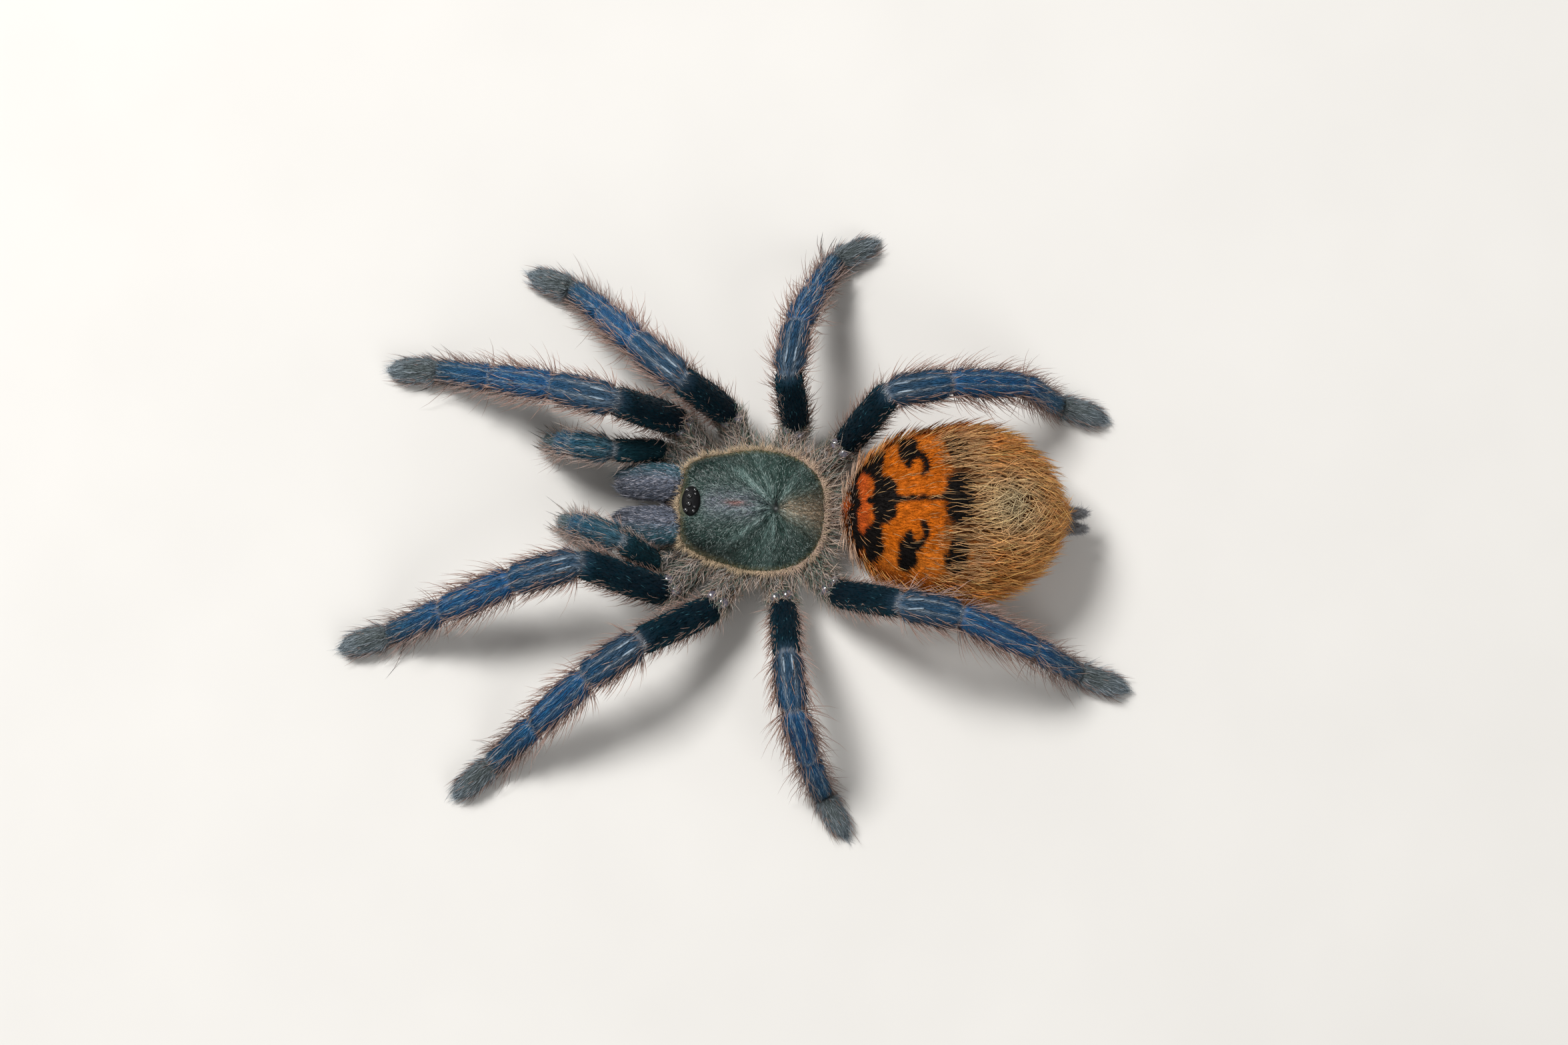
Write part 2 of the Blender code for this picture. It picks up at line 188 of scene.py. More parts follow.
# %% Floor, lights and sky
floor_bm = bmesh.new()
bmesh.ops.create_grid(floor_bm, x_segments=8, y_segments=8, size=2.5)
floor_mesh = bpy.data.meshes.new("floor")
floor_bm.to_mesh(floor_mesh)
floor_bm.free()
floor = bpy.data.objects.new("floor", floor_mesh)
bpy.context.collection.objects.link(floor)
floor_finish, nodes, links, shader = new_material("pale_floor", roughness=0.75, specular=0.3)
cloudy = grain(nodes, links, own_place(nodes), scale=60)
pale = between(nodes, links, cloudy, paint(206, 203, 198), paint(214, 211, 206))
links.new(pale, shader.inputs["Base Color"])
floor_mesh.materials.append(floor_finish)


def soft_light(name, place, size, power):
    """A square light that faces the middle of the spider."""
    spider_middle = Vector((0, 0, 0.004))
    data = bpy.data.lights.new(name, "AREA")
    data.shape = "SQUARE"
    data.size = size
    data.energy = power
    lamp = bpy.data.objects.new(name, data)
    lamp.location = place
    lamp.rotation_euler = (Vector(place) - spider_middle).to_track_quat("Z", "Y").to_euler()
    bpy.context.collection.objects.link(lamp)


soft_light("key_light", place=(-0.22, -0.26, 0.52), size=0.20, power=4.6)
soft_light("fill_light", place=(0.40, 0.34, 0.42), size=0.40, power=1.3)
world = bpy.data.worlds.new("studio")
world.use_nodes = True
world.node_tree.nodes["Background"].inputs["Color"].default_value = (0.86, 0.87, 0.88, 1)
world.node_tree.nodes["Background"].inputs["Strength"].default_value = 0.34
bpy.context.scene.world = world
bpy.context.scene.view_settings.view_transform = "Standard"

# %% [markdown]
# ## Measuring the solids
# Nearly every soft part of a spider is a tube: a leg, a feeler, a jaw, a spinneret, and
# even the egg of the abdomen. Cutting a solid with planes square to its length gives
# the middle, the width and the height of that tube, so that the skin fits whatever the
# solids say, without any number being copied over.


# %% Cut a solid into stations
def unit(vector):
    """The same direction at length 1."""
    return vector / np.linalg.norm(vector, axis=-1, keepdims=True)


def solid_shape(name):
    """The points of a solid, and its edges as pairs of rows."""
    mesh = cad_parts[name].data
    points = np.empty(len(mesh.vertices) * 3)
    mesh.vertices.foreach_get("co", points)
    edges = np.empty(len(mesh.edges) * 2, dtype=int)
    mesh.edges.foreach_get("vertices", edges)
    return points.reshape(-1, 3), edges.reshape(-1, 2)


def level_frame(axis):
    """The two directions square to an axis, one of them level."""
    across = unit(np.cross(axis, UP))
    return across, np.cross(across, axis)


def cut(name, centre, axis):
    """Middle, half width and half height of the cut that a plane makes in a solid."""
    points, edges = solid_shape(name)
    height = (points - centre) @ axis
    first, second = height[edges[:, 0]], height[edges[:, 1]]
    crossing = first * second < 0
    share = (first / (first - second + 1e-12))[crossing, None]
    start, end = points[edges[crossing, 0]], points[edges[crossing, 1]]
    spots = start + (end - start) * share - centre
    across, over = level_frame(axis)
    wide, tall = spots @ across, spots @ over
    middle = centre + across * (wide.min() + wide.max()) / 2 + over * (tall.min() + tall.max()) / 2
    return middle, (wide.max() - wide.min()) / 2, (tall.max() - tall.min()) / 2


def facing_ends(first, second):
    """The joint between two solids: the middle of the ends that face each other."""
    a = np.unique(solid_shape(first)[0].round(6), axis=0)
    b = np.unique(solid_shape(second)[0].round(6), axis=0)
    gap, near = np.linalg.norm(a[:, None] - b[None], axis=2), 0.42 * MM
    return (a[gap.min(1) < near].mean(0) + b[gap.min(0) < near].mean(0)) / 2


def far_end(name, start):
    """The middle of the end of a solid that lies furthest from a point."""
    points = np.unique(solid_shape(name)[0].round(6), axis=0)
    away = np.linalg.norm(points - start, axis=1)
    axis = unit(points[away > away.max() - 1.0 * MM].mean(0) - start)
    along = (points - start) @ axis
    return points[along > along.max() - 0.25 * MM].mean(0)


# %% [markdown]
# A limb bends at its joints, and straight stretches between stations would show as
# kinks. So the middle line and the girth are smoothed with a small bell-shaped window,
# and then read again at even steps. Everything that grows on a tube later on is placed
# by two numbers, the distance along it and the turn round it.

# %% Turn a row of stations into a smooth tube
STEP = 0.28 * MM


def smooth_line(values, spacing, softness):
    """Rounds the corners of a line of points, and leaves its two ends where they are."""
    reach = max(1, int(3 * softness / spacing))
    weights = np.exp(-0.5 * (np.arange(-reach, reach + 1) * spacing / softness) ** 2)
    weights /= weights.sum()
    before = 2 * values[0] - values[reach:0:-1]
    after = 2 * values[-1] - values[-2:-reach - 2:-1]
    padded = np.concatenate([before, values, after])
    columns = [np.convolve(column, weights, "valid") for column in padded.T]
    return np.stack(columns, axis=1)


def make_tube(name, stations, joints=(), softness=0.4 * MM, step=STEP):
    """A tube through stations of (middle, half width, half height). Joints are the rows
    at which one segment ends and the next begins."""
    middles = np.array([s[0] for s in stations])
    sizes = np.array([s[1:3] for s in stations])
    gone = np.concatenate([[0], np.cumsum(np.linalg.norm(np.diff(middles, axis=0), axis=1))])
    fine = np.linspace(0, gone[-1], int(gone[-1] / (0.05 * MM)) + 1)
    line = np.stack([np.interp(fine, gone, middles[:, k]) for k in range(3)], axis=1)
    line = smooth_line(line, fine[1], softness)
    girth = np.stack([np.interp(fine, gone, sizes[:, k]) for k in range(2)], axis=1)
    girth = smooth_line(girth, fine[1], 0.25 * MM)
    rows = np.linspace(0, gone[-1], max(8, int(gone[-1] / step)) + 1)
    middle = np.stack([np.interp(rows, fine, line[:, k]) for k in range(3)], axis=1)
    axis = unit(np.gradient(middle, axis=0))
    across, over = level_frame(axis)
    return {
        "name": name, "rows": rows, "length": gone[-1], "middle": middle, "axis": axis,
        "across": across, "over": over,
        "wide": np.interp(rows, fine, girth[:, 0]), "tall": np.interp(rows, fine, girth[:, 1]),
        "joints": np.array([gone[k] for k in joints]),
    }


def on_tube(tube, along, turn, depth=0.0):
    """Points of a tube's surface at distances along it and turns round it. Turn 0 is the
    level side, and a quarter turn is the top."""
    def pick(key):
        values = tube[key]
        if values.ndim == 1:
            return np.interp(along, tube["rows"], values)
        return np.stack([np.interp(along, tube["rows"], values[:, k]) for k in range(3)], axis=-1)

    wide = np.maximum(pick("wide") - depth, 0.02 * MM)
    tall = np.maximum(pick("tall") - depth, 0.02 * MM)
    sideways = pick("across") * (wide * np.cos(turn))[..., None]
    upwards = pick("over") * (tall * np.sin(turn))[..., None]
    return pick("middle") + sideways + upwards


# %% [markdown]
# A leg has a hip (coxa), thigh (femur), knee (patella), shin (tibia), and a foot of two
# parts (metatarsus and tarsus) with the ankle between them. A feeler has one part less.
# Making each limb one long tube, with the joints as pinches in it, lets the skin and
# the coat run over the joints without a seam.

# %% The legs and feelers as tubes
LEG_NAMES = [f"leg_{number}_{side}" for number in (1, 2, 3, 4) for side in "lr"]
PALP_NAMES = ["palp_l", "palp_r"]
LEG_PARTS = ("coxa", "femur", "patella", "tibia", "foot")
PALP_PARTS = ("coxa", "femur", "patella", "foot")
ANKLE_SHARE = {"leg": 0.595, "palp": 0.5}
COXA, FEMUR, PATELLA, TIBIA, METATARSUS, TARSUS = range(6)
FOOT_CUTS, OTHER_CUTS = np.linspace(0.12, 0.985, 20), np.linspace(0.24, 0.8, 6)  # where to cut
JOINT_GIRTH, TIP_GIRTH = 0.88, 0.7  # of the nearest cut's
JOINT_PINCH, JOINT_SWELLING = 0.2, 0.035  # how much narrower at a joint, and wider beside it


def bell(value, middle, width):
    """1 at the middle, falling away to 0 on both sides."""
    return np.exp(-0.5 * ((value - middle) / width) ** 2)


def soft_step(value, edge, softness):
    """From 0 to 1 as a value passes an edge, straight and as wide as the softness."""
    return np.clip((value - edge) / softness + 0.5, 0, 1)


def kind_of(name):
    """Leg or palp, from a limb's name."""
    return name[:4].strip("_")


def limb_tube(name):
    """One tube from a limb's root to its tip, with the place of each joint."""
    kind = kind_of(name)
    solids = [f"{name}_{part}" for part in (LEG_PARTS if kind == "leg" else PALP_PARTS)]
    knots = [facing_ends(a, b) for a, b in zip(solids, solids[1:])]
    knots = [far_end(solids[0], knots[0]), *knots, far_end(solids[-1], knots[-1])]
    stations, joints = [], []
    for solid, start, end in zip(solids, knots, knots[1:]):
        axis = unit(end - start)
        shares = FOOT_CUTS if solid.endswith("foot") else OTHER_CUTS
        cuts = [cut(solid, start + (end - start) * share, axis) for share in shares]
        joints.append(len(stations))
        stations.append((start, cuts[0][1] * JOINT_GIRTH, cuts[0][2] * JOINT_GIRTH))
        stations += cuts
    stations.append((end, cuts[-1][1] * TIP_GIRTH, cuts[-1][2] * TIP_GIRTH))
    tube = make_tube(name, stations, joints)
    ankle = tube["joints"][-1] + (tube["length"] - tube["joints"][-1]) * ANKLE_SHARE[kind]
    tube["joints"] = np.append(tube["joints"], ankle)
    tube["kinds"] = [part for part in range(6) if kind == "leg" or part != METATARSUS]
    for joint in tube["joints"][1:]:
        gone = tube["rows"] - joint
        waist = JOINT_PINCH * bell(gone, 0, 0.22 * MM)
        swelling = JOINT_SWELLING * bell(np.abs(gone), 0.75 * MM, 0.3 * MM)
        tube["wide"] *= 1 - waist + swelling
        tube["tall"] *= 1 - waist + swelling
    return tube


limbs = {name: limb_tube(name) for name in LEG_NAMES + PALP_NAMES}


# %% [markdown]
# The jaws, the thin waist, the egg-shaped abdomen and the two spinnerets behind it are
# tubes as well. The long hair of the abdomen needs room, so its skin lies deeper
# towards the back, and the spinnerets are short stubs inside a tuft of hair.

# %% The jaws, waist, abdomen and spinnerets as tubes
def body_tube(name, start, end, shares, step=STEP, front_depth=0.0, back_depth=0.0):
    """A tube through one solid, lying as deep inside it as the coat is long, which may
    change from its front to its back."""
    start, end = np.array(start), np.array(end)
    length, axis = np.linalg.norm(end - start), unit(end - start)
    stations = []
    for share in shares:
        middle, wide, tall = cut(name, start + (end - start) * share, axis)
        depth = front_depth + (back_depth - front_depth) * share
        middle = middle + axis * (front_depth * (1 - share) - back_depth * share)
        wide, tall = wide * (1 - depth / (0.42 * length)), tall * (1 - depth / (0.35 * length))
        stations.append((middle, wide, tall))
    return make_tube(name, stations, softness=0.25 * MM, step=step)


def node_ends(name, axis):
    """The lowest and highest points of a solid along an axis, on a line through its middle."""
    points = np.unique(solid_shape(name)[0].round(6), axis=0)
    along = points @ axis
    near = 0.05 * MM
    low, high = points[along < along.min() + near], points[along > along.max() - near]
    return low.mean(0), high.mean(0)


BACKWARDS = np.array([0.0, 1.0, 0.0])
ABDOMEN_TURN = math.radians(3.5)  # the abdomen swings a little to one side
egg_length_way = unit(np.array([-math.sin(ABDOMEN_TURN), math.cos(ABDOMEN_TURN), 0]))
egg_shares = 0.5 - 0.5 * np.cos(np.linspace(0.06, math.pi - 0.06, 40))
abdomen_front, abdomen_back = node_ends("abdomen", egg_length_way)
abdomen_tube = body_tube(
    "abdomen", abdomen_front, abdomen_back, egg_shares,
    step=0.14 * MM, front_depth=0.05 * MM, back_depth=0.95 * MM,
)
jaw_shares = np.concatenate([[0.02, 0.1], np.linspace(0.2, 0.97, 16)])
jaw_tubes = {}
for name in ("chelicera_l", "chelicera_r"):
    low, high = (np.array(corner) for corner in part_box(name))
    middle_x, middle_z = (low[0] + high[0]) / 2, (low[2] + high[2]) / 2
    jaw = body_tube(name, (middle_x, high[1], middle_z), (middle_x, low[1], middle_z), jaw_shares)
    for key in ("wide", "tall"):  # the tip is blunter than the solid's
        blunt = jaw[key].max() * (jaw[key] / jaw[key].max()) ** 0.6
        jaw[key] = np.where(jaw["rows"] > 0.5 * jaw["length"], blunt, jaw[key])
    jaw_tubes[name] = jaw
spinneret_tubes = {}
for name in ("spinneret_l", "spinneret_r"):
    low, high = node_ends(name, BACKWARDS)
    stub = body_tube(name, low, low + (high - low) * 0.52, np.linspace(0.03, 0.97, 16), step=0.15 * MM)
    for key in ("wide", "tall"):  # rounded off towards the tip
        stub[key] = stub[key] * (1 - 0.6 * (stub["rows"] / stub["length"]) ** 3)
    spinneret_tubes[name] = stub
low, high = node_ends("pedicel", BACKWARDS)
waist_tube = body_tube("pedicel", low, high, np.linspace(0.05, 0.95, 10))
widest_mm = abdomen_tube["wide"].max() * 2 / MM
print("abdomen skin mm long", round(abdomen_tube["length"] / MM, 2), "widest", round(widest_mm, 2))

# %% [markdown]
# ## Colours
# Skin and hair read the same rules, so that a mark on the skin carries on in the coat
# above it. Each rule takes places on the body and gives colours back. The legs change
# at each joint: grey hips, thighs so dark a blue that they look black, slate knees with
# two pale lines, bright blue shins, and grey feet.

# %% Colours of the limbs
HIP_GREY = paint(140, 130, 126)
HIP_DARK = paint(70, 62, 62)
THIGH_NAVY = paint(4, 17, 28)
THIGH_TEAL = paint(9, 50, 62)
KNEE_SLATE = paint(50, 74, 94)
KNEE_BLUE = paint(24, 78, 116)
SHIN_BLUE = paint(13, 70, 118)
SHIN_LIGHT = paint(66, 132, 168)
SHIN_VIOLET = paint(86, 80, 100)
FOOT_BLUE = paint(40, 76, 100)
FOOT_GREY = paint(112, 126, 134)
FOOT_OLIVE = paint(76, 82, 78)
PALP_TEAL = paint(44, 92, 100)
PALE_LINE = paint(172, 182, 190)
JOINT_PALE = paint(140, 138, 142)


def blend(first, second, share):
    """From one colour to another by a share per place."""
    share = np.clip(share, 0, 1)[..., None]
    return first * (1 - share) + second * share


def segment_of(tube, along):
    """Which segment each place is on, and the share of the way along it."""
    edges = np.append(tube["joints"], tube["length"] + 1e-6)
    index = np.clip(np.searchsorted(edges, along, side="right") - 1, 0, len(edges) - 2)
    share = (along - edges[index]) / (edges[index + 1] - edges[index])
    return np.array(tube["kinds"])[index], share, index


def limb_colour(tube, along, turn, luck):
    """The colour of a limb's skin and flat hair. Luck from 0 to 1 makes hairs differ."""
    kind, share, _ = segment_of(tube, along)
    top = np.sin(turn)
    stripe = np.maximum(bell(turn, math.radians(68), 0.075), bell(turn, math.radians(112), 0.075))
    colour = np.zeros(np.shape(along) + (3,))
    hip = blend(HIP_DARK, HIP_GREY, 0.35 + 0.9 * luck)
    # Teal hairs that come by chance are the thigh's own colour; the teal that grows towards the level
    # sides is a painted sheen.
    sheen_side = soft_step(-np.abs(top), -0.55, 0.5)
    thigh = blend(THIGH_NAVY, THIGH_TEAL, 0.7 * luck**2 + 0.2 * share + 0.8 * sheen_side)
    thigh = blend(thigh, KNEE_SLATE, (0.2 + 0.6 * luck) * soft_step(share, 0.95, 0.14))
    knee = blend(KNEE_SLATE, KNEE_BLUE, 0.9 * share**2 + 0.3 * luck)
    knee = blend(knee, PALE_LINE, 0.25 * stripe + 0.3 * (luck > 0.9))
    shin = blend(SHIN_BLUE, SHIN_LIGHT, 0.75 * luck**2)
    shin = blend(shin, SHIN_VIOLET, 0.6 * np.clip(0.45 - top, 0, 1) + 0.45 * (luck < 0.16))
    shin = blend(shin, PALE_LINE, 0.2 * stripe * (share < 0.9) + 0.35 * (luck > 0.93))
    meta = blend(blend(SHIN_BLUE, FOOT_BLUE, share), SHIN_LIGHT, 0.65 * luck**2)
    meta = blend(meta, PALE_LINE, 0.15 * stripe * (share < 0.8) + 0.3 * (luck > 0.93))
    meta = blend(meta, FOOT_GREY, 0.75 * soft_step(share, 0.9, 0.25))
    toe = blend(FOOT_GREY, PALE_LINE, 0.6 * luck**2)
    toe = blend(toe, FOOT_OLIVE, 0.75 * soft_step(top, 0.62, 0.5) * soft_step(-share, -0.75, 0.4))
    for part, tone in enumerate((hip, thigh, knee, shin, meta, toe)):  # from COXA to TARSUS
        colour = np.where((kind == part)[..., None], tone, colour)
    if tube["name"].startswith("palp"):
        colour = blend(colour, PALP_TEAL, np.where(kind == FEMUR, 0.22, 0.55) * (0.4 + luck))
    near = np.abs(along[..., None] - tube["joints"][None, 2:]).min(axis=-1)
    return blend(colour, JOINT_PALE, 0.5 * bell(near, 0, 0.07 * MM) * (kind != COXA))


# %% [markdown]
# The abdomen carries the marks that give the species away: vivid orange over the front
# half with a black block, bars and commas mirrored about a thin middle line, then long
# straw-coloured hair behind. Each mark is drawn by rule, as one stroke of a soft brush
# that may change its width, in the abdomen's own length and width in millimetres. So
# the same rule can colour the skin, the velvet and the tips of the long hair.

# %% Colours of the abdomen
ORANGE = paint(184, 94, 8)
DEEP_ORANGE = paint(156, 70, 5)
RED_ORANGE = paint(172, 70, 28)
MARK_BLACK = paint(12, 8, 7)
UNDER_BROWN = paint(84, 50, 24)
GOLD = paint(214, 124, 40)
STRAW = paint(206, 128, 52)
STRAW_PALE = paint(244, 190, 112)
CREAM = paint(226, 208, 166)
egg_middle = (np.array(abdomen_front) + np.array(abdomen_back)) / 2
egg_axis = unit(np.array(abdomen_back) - np.array(abdomen_front))
egg_across, egg_over = np.array([egg_axis[1], -egg_axis[0], 0]), UP
MARKS_MIDLINE = -0.4  # the pattern sits a little off the middle
MARK_EDGE = 0.14  # how soft a brush stroke's edge is
# The marks are the same on both sides, so each is drawn once, as a brush would: rows of
# sideways, backwards and half the brush's width.
MARK_STROKES = (
    ((0, -7.98, 0.4), (1.3, -8.3, 0.5), (2.4, -8.1, 0.45), (3.1, -7.5, 0.45)),
    ((3.1, -7.5, 0.45), (2.6, -6.6, 0.7), (3.8, -6.5, 0.72)),
    ((1.2, -6.0, 0.5), (2.4, -6.5, 0.42)),
    ((0, -5.75, 0.92), (1.0, -5.75, 0.92)),
    ((0, -6.5, 0.5), (0, -7.15, 0.1)),
    ((0, -5.0, 0.5), (0, -4.3, 0.22), (0, -1.5, 0.19), (0, -0.7, 0.5)),
    ((0, 0.2, 1.1), (1.0, 0.2, 1.1)),
    ((3.9, 0.1, 0.85), (4.9, -0.1, 0.95)),
    ((2.75, -3.85, 0.3), (3.7, -3.9, 0.72), (4.7, -3.95, 0.78)),
    ((3.8, -3.2, 0.35), (3.2, -2.55, 0.25), (2.6, -2.45, 0.25), (1.95, -2.75, 0.26)),
)


def egg_place(points):
    """Sideways from the pattern's middle line, backwards and upwards, in millimetres."""
    gone = (points - egg_middle) / MM
    return gone @ egg_across - MARKS_MIDLINE, gone @ egg_axis, gone @ egg_over


def black_marks(side, back):
    """From 0 on plain coat to 1 on a black mark."""
    side, mark = np.abs(side), np.zeros(np.shape(side))
    for stroke in MARK_STROKES:
        for (x, y, wide), (to_x, to_y, to_wide) in zip(stroke, stroke[1:]):
            long, far = to_x - x, to_y - y
            share = np.clip(((side - x) * long + (back - y) * far) / (long**2 + far**2), 0, 1)
            gap = np.hypot(side - x - long * share, back - y - far * share)
            gap = gap - wide - (to_wide - wide) * share
            mark = np.maximum(mark, soft_step(-gap, 0, MARK_EDGE))
    return mark


def egg_colour(points, luck, hair):
    """The abdomen's colour at places on its outside: of short hair and skin where hair
    is 0, and of the tips of long hair where it is 1."""
    side, back, up = egg_place(points)
    wobble = 0.05 * np.sin(side * 5.1 + luck * 9) + 0.04 * np.sin(back * 7.3 + luck * 5)
    front = soft_step(-back, 0.7 + 5 * wobble + 0.06 * np.abs(side), 0.9)  # the orange half
    above = soft_step(up, -1.5, 2.0)  # the belly is plain
    vivid = blend(DEEP_ORANGE, ORANGE, 0.2 + 0.9 * luck)
    vivid = blend(vivid, GOLD, 0.5 * soft_step(np.abs(side), 4.2, 1.6))
    lobes = soft_step(-back, 6.8, 0.8) * soft_step(-np.abs(side), -3.0, 1.0)
    vivid = blend(vivid, RED_ORANGE, 0.7 * lobes)
    flank = soft_step(np.abs(side), 4.0, 2.5) * above
    ground = blend(UNDER_BROWN * (0.35 + luck)[..., None], GOLD, 0.6 * flank)
    short = blend(ground, vivid, front * above)
    short = blend(short, MARK_BLACK, black_marks(side + wobble, back + wobble) * above)
    short = blend(short, DEEP_ORANGE, 0.85 * soft_step(-back, 8.65, 0.3) * bell(side, 0, 2.0))
    long_hair = blend(STRAW, STRAW_PALE, luck)
    long_hair = blend(long_hair, blend(GOLD, STRAW_PALE, luck**2), 0.8 * soft_step(-back, -2.5, 4.0))
    patch = bell(side, 0.4, 1.9) * bell(back, 4.3, 1.7) * above
    long_hair = blend(long_hair, CREAM, patch)
    return blend(short, long_hair, hair)


# %% [markdown]
# ## The skin
# All soft parts share one skin. Each tube starts as a disc and is drawn out ring by
# ring, as a potter pulls a neck, so every part is closed at both ends. Every point also
# remembers where it would lie if the part were straightened and combed, which lets the
# fine grooves of the skin run along a leg round all its bends.

# %% Draw out the skin
COAT_DEPTH = {  # how deep the skin lies inside the solids
    "leg": 0.12 * MM, "palp": 0.05 * MM, "abdomen": 0.0,
    "jaw": 0.14 * MM, "spinneret": 0.06 * MM, "waist": 0.25 * MM,
}
FLOOR_GAP = 0.02 * MM  # nothing reaches lower than this
END_SQUEEZE = np.array([0.38, 0.72])  # how narrow the last two rings at an end are
END_BULGE = np.array([0.3, 0.16])  # how far they stand out, in shares of the radius
skin_bm = bmesh.new()
skin_tint = skin_bm.verts.layers.float_color.new("tint")
skin_combed = skin_bm.verts.layers.float_vector.new("combed")


def ring_edges(ring):
    """The edges that join the points of a ring."""
    members = set(ring)
    return list(dict.fromkeys(e for v in ring for e in v.link_edges if e.other_vert(v) in members))


def next_ring(bm, ring):
    """Extrudes a ring once, and gives its new points in the same order."""
    made = bmesh.ops.extrude_edge_only(bm, edges=ring_edges(ring))["geom"]
    fresh = {v for v in made if isinstance(v, bmesh.types.BMVert)}
    return [next(e.other_vert(v) for e in v.link_edges if e.other_vert(v) in fresh) for v in ring]


def draw_out(tube, depth, sides, colour_of):
    """Adds one closed tube to the skin, rounded at both ends. The rule for its colour
    takes distances along the tube, turns round it, and points."""
    rows = np.concatenate([[0, 0], tube["rows"], [tube["length"]] * 2])
    squeeze = np.concatenate([END_SQUEEZE, np.ones(len(tube["rows"])), END_SQUEEZE[::-1]])
    bulge = np.concatenate([END_BULGE, np.zeros(len(tube["rows"])), END_BULGE[::-1]])
    turns = np.linspace(0, 2 * math.pi, sides, endpoint=False)
    along, turn = np.meshgrid(rows, turns, indexing="ij")
    points = on_tube(tube, along, turn, depth)
    middle = points.mean(axis=1, keepdims=True)
    ends = np.where(np.arange(len(rows)) < 2, -1.0, 1.0)[:, None, None]
    axis = np.stack([np.interp(rows, tube["rows"], way) for way in tube["axis"].T], axis=-1)
    radius = np.linalg.norm(points[:, :1] - middle, axis=-1, keepdims=True)
    points = middle + (points - middle) * squeeze[:, None, None]
    points = points + axis[:, None, :] * ends * bulge[:, None, None] * radius
    points[..., 2] = np.maximum(points[..., 2], FLOOR_GAP + 0.01 * MM)
    tints = colour_of(along, turn, points)
    girth = 1.2 * MM
    combed = np.stack([along, np.cos(turn) * girth, np.sin(turn) * girth], axis=-1) / MM
    ring = bmesh.ops.create_circle(skin_bm, cap_ends=True, segments=sides, radius=MM)["verts"]
    for row in range(len(rows)):
        ring = next_ring(skin_bm, ring) if row else ring
        for k, v in enumerate(ring):
            v.co = points[row, k]
            v[skin_tint] = (*tints[row, k], 1)
            v[skin_combed] = combed[row, k]
    bmesh.ops.contextual_create(skin_bm, geom=ring_edges(ring))


def even(along):
    """A luck value that drifts slowly instead of jumping from hair to hair."""
    return 0.42 + 0.12 * np.sin(along / MM * 2.3)


JAW_GREY = paint(112, 118, 132)
JAW_DARK = paint(54, 58, 68)
JAW_TEAL = paint(54, 104, 116)
JAW_PALE = paint(196, 194, 204)
SPINNERET_BLUE = paint(124, 126, 132)
WAIST_BROWN = paint(104, 84, 74)


def jaw_colour(turn, side, luck):
    """Purplish grey, with a teal outer side."""
    outer = np.cos(turn) * side
    return blend(blend(JAW_DARK, JAW_GREY, 0.3 + luck), JAW_TEAL, 0.85 * soft_step(outer, 0.38, 0.8))


def outer_side(name):
    """Which way round a jaw's outer side is."""
    return -1 if name.endswith("l") else 1


def limb_skin(tube):
    """The rule for a limb's skin, a little darker than its coat."""
    return lambda along, turn, points: limb_colour(tube, along, turn, even(along)) * 0.8


def jaw_skin(name):
    """The rule for a jaw's skin."""
    return lambda along, turn, points: jaw_colour(turn, outer_side(name), np.full(along.shape, 0.3))


def abdomen_skin(along, turn, points):
    """The rule for the abdomen's skin."""
    return egg_colour(points, np.full(along.shape, 0.45), 0.0)


def one_tone(first, second, share):
    """A rule that gives one mixed colour everywhere."""
    return lambda along, turn, points: blend(first, second, np.full(along.shape, share))


for name, tube in limbs.items():
    draw_out(tube, COAT_DEPTH[kind_of(name)], 22, limb_skin(tube))
draw_out(abdomen_tube, COAT_DEPTH["abdomen"], 132, abdomen_skin)
for name, tube in jaw_tubes.items():
    draw_out(tube, COAT_DEPTH["jaw"], 30, jaw_skin(name))
for tube in spinneret_tubes.values():
    draw_out(tube, COAT_DEPTH["spinneret"], 16, one_tone(SPINNERET_BLUE, HIP_DARK, 0.4))
draw_out(waist_tube, COAT_DEPTH["waist"], 20, one_tone(WAIST_BROWN, HIP_DARK, 0.5))

# %% [markdown]
# The hips meet under the shell, round the plate on the underside. A flattened ball
# fills the middle of the front body, and a smaller one closes the mouth between the
# jaws, so that nobody looks in between the legs. The skin's finish is dull, with fine
# grooves that run along each part.

# %% Fill the middle of the front body and the mouth, and finish the skin
def object_from(name, bm, *materials):
    """A finished bmesh as a smooth object at the origin."""
    bm.normal_update()
    bmesh.ops.recalc_face_normals(bm, faces=bm.faces)
    mesh = bpy.data.meshes.new(name)
    bm.to_mesh(mesh)
    bm.free()
    mesh.shade_smooth()
    for material in materials:
        mesh.materials.append(material)
    made = bpy.data.objects.new(name, mesh)
    bpy.context.collection.objects.link(made)
    return made


def add_ball(bm, middle, radius, around, down, stretch=(1, 1, 1)):
    """Adds a ball, which may be squashed or stretched, and gives its points."""
    ball = bmesh.ops.create_uvsphere(bm, u_segments=around, v_segments=down, radius=radius)["verts"]
    bmesh.ops.scale(bm, vec=stretch, verts=ball)
    bmesh.ops.translate(bm, vec=middle, verts=ball)
    return ball


core_low, core_high = (np.array(corner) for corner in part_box("sternum"))
core_middle = (core_low + core_high) / 2 + 0.55 * MM * UP
core_half = np.array([3.5, 4.6, 0.95]) * MM
mouth_half = np.array([1.5, 1.6, 0.9]) * MM
mouth_middle = np.array([shell_middle[0], shell_low[1] + 0.3 * MM, core_middle[2] + 0.9 * MM])
core = add_ball(skin_bm, core_middle, radius=1, around=32, down=16, stretch=core_half)
mouth = add_ball(skin_bm, mouth_middle, radius=1, around=24, down=14, stretch=mouth_half)
# Both balls are coloured half as dark as the darkest hip skin: the body's own dark underside, darkened
# further as painted shade of the gaps between the legs and between the jaws.
for v in core + mouth:
    v[skin_tint] = (*HIP_DARK * 0.5, 1)
    v[skin_combed] = np.array(v.co) / MM

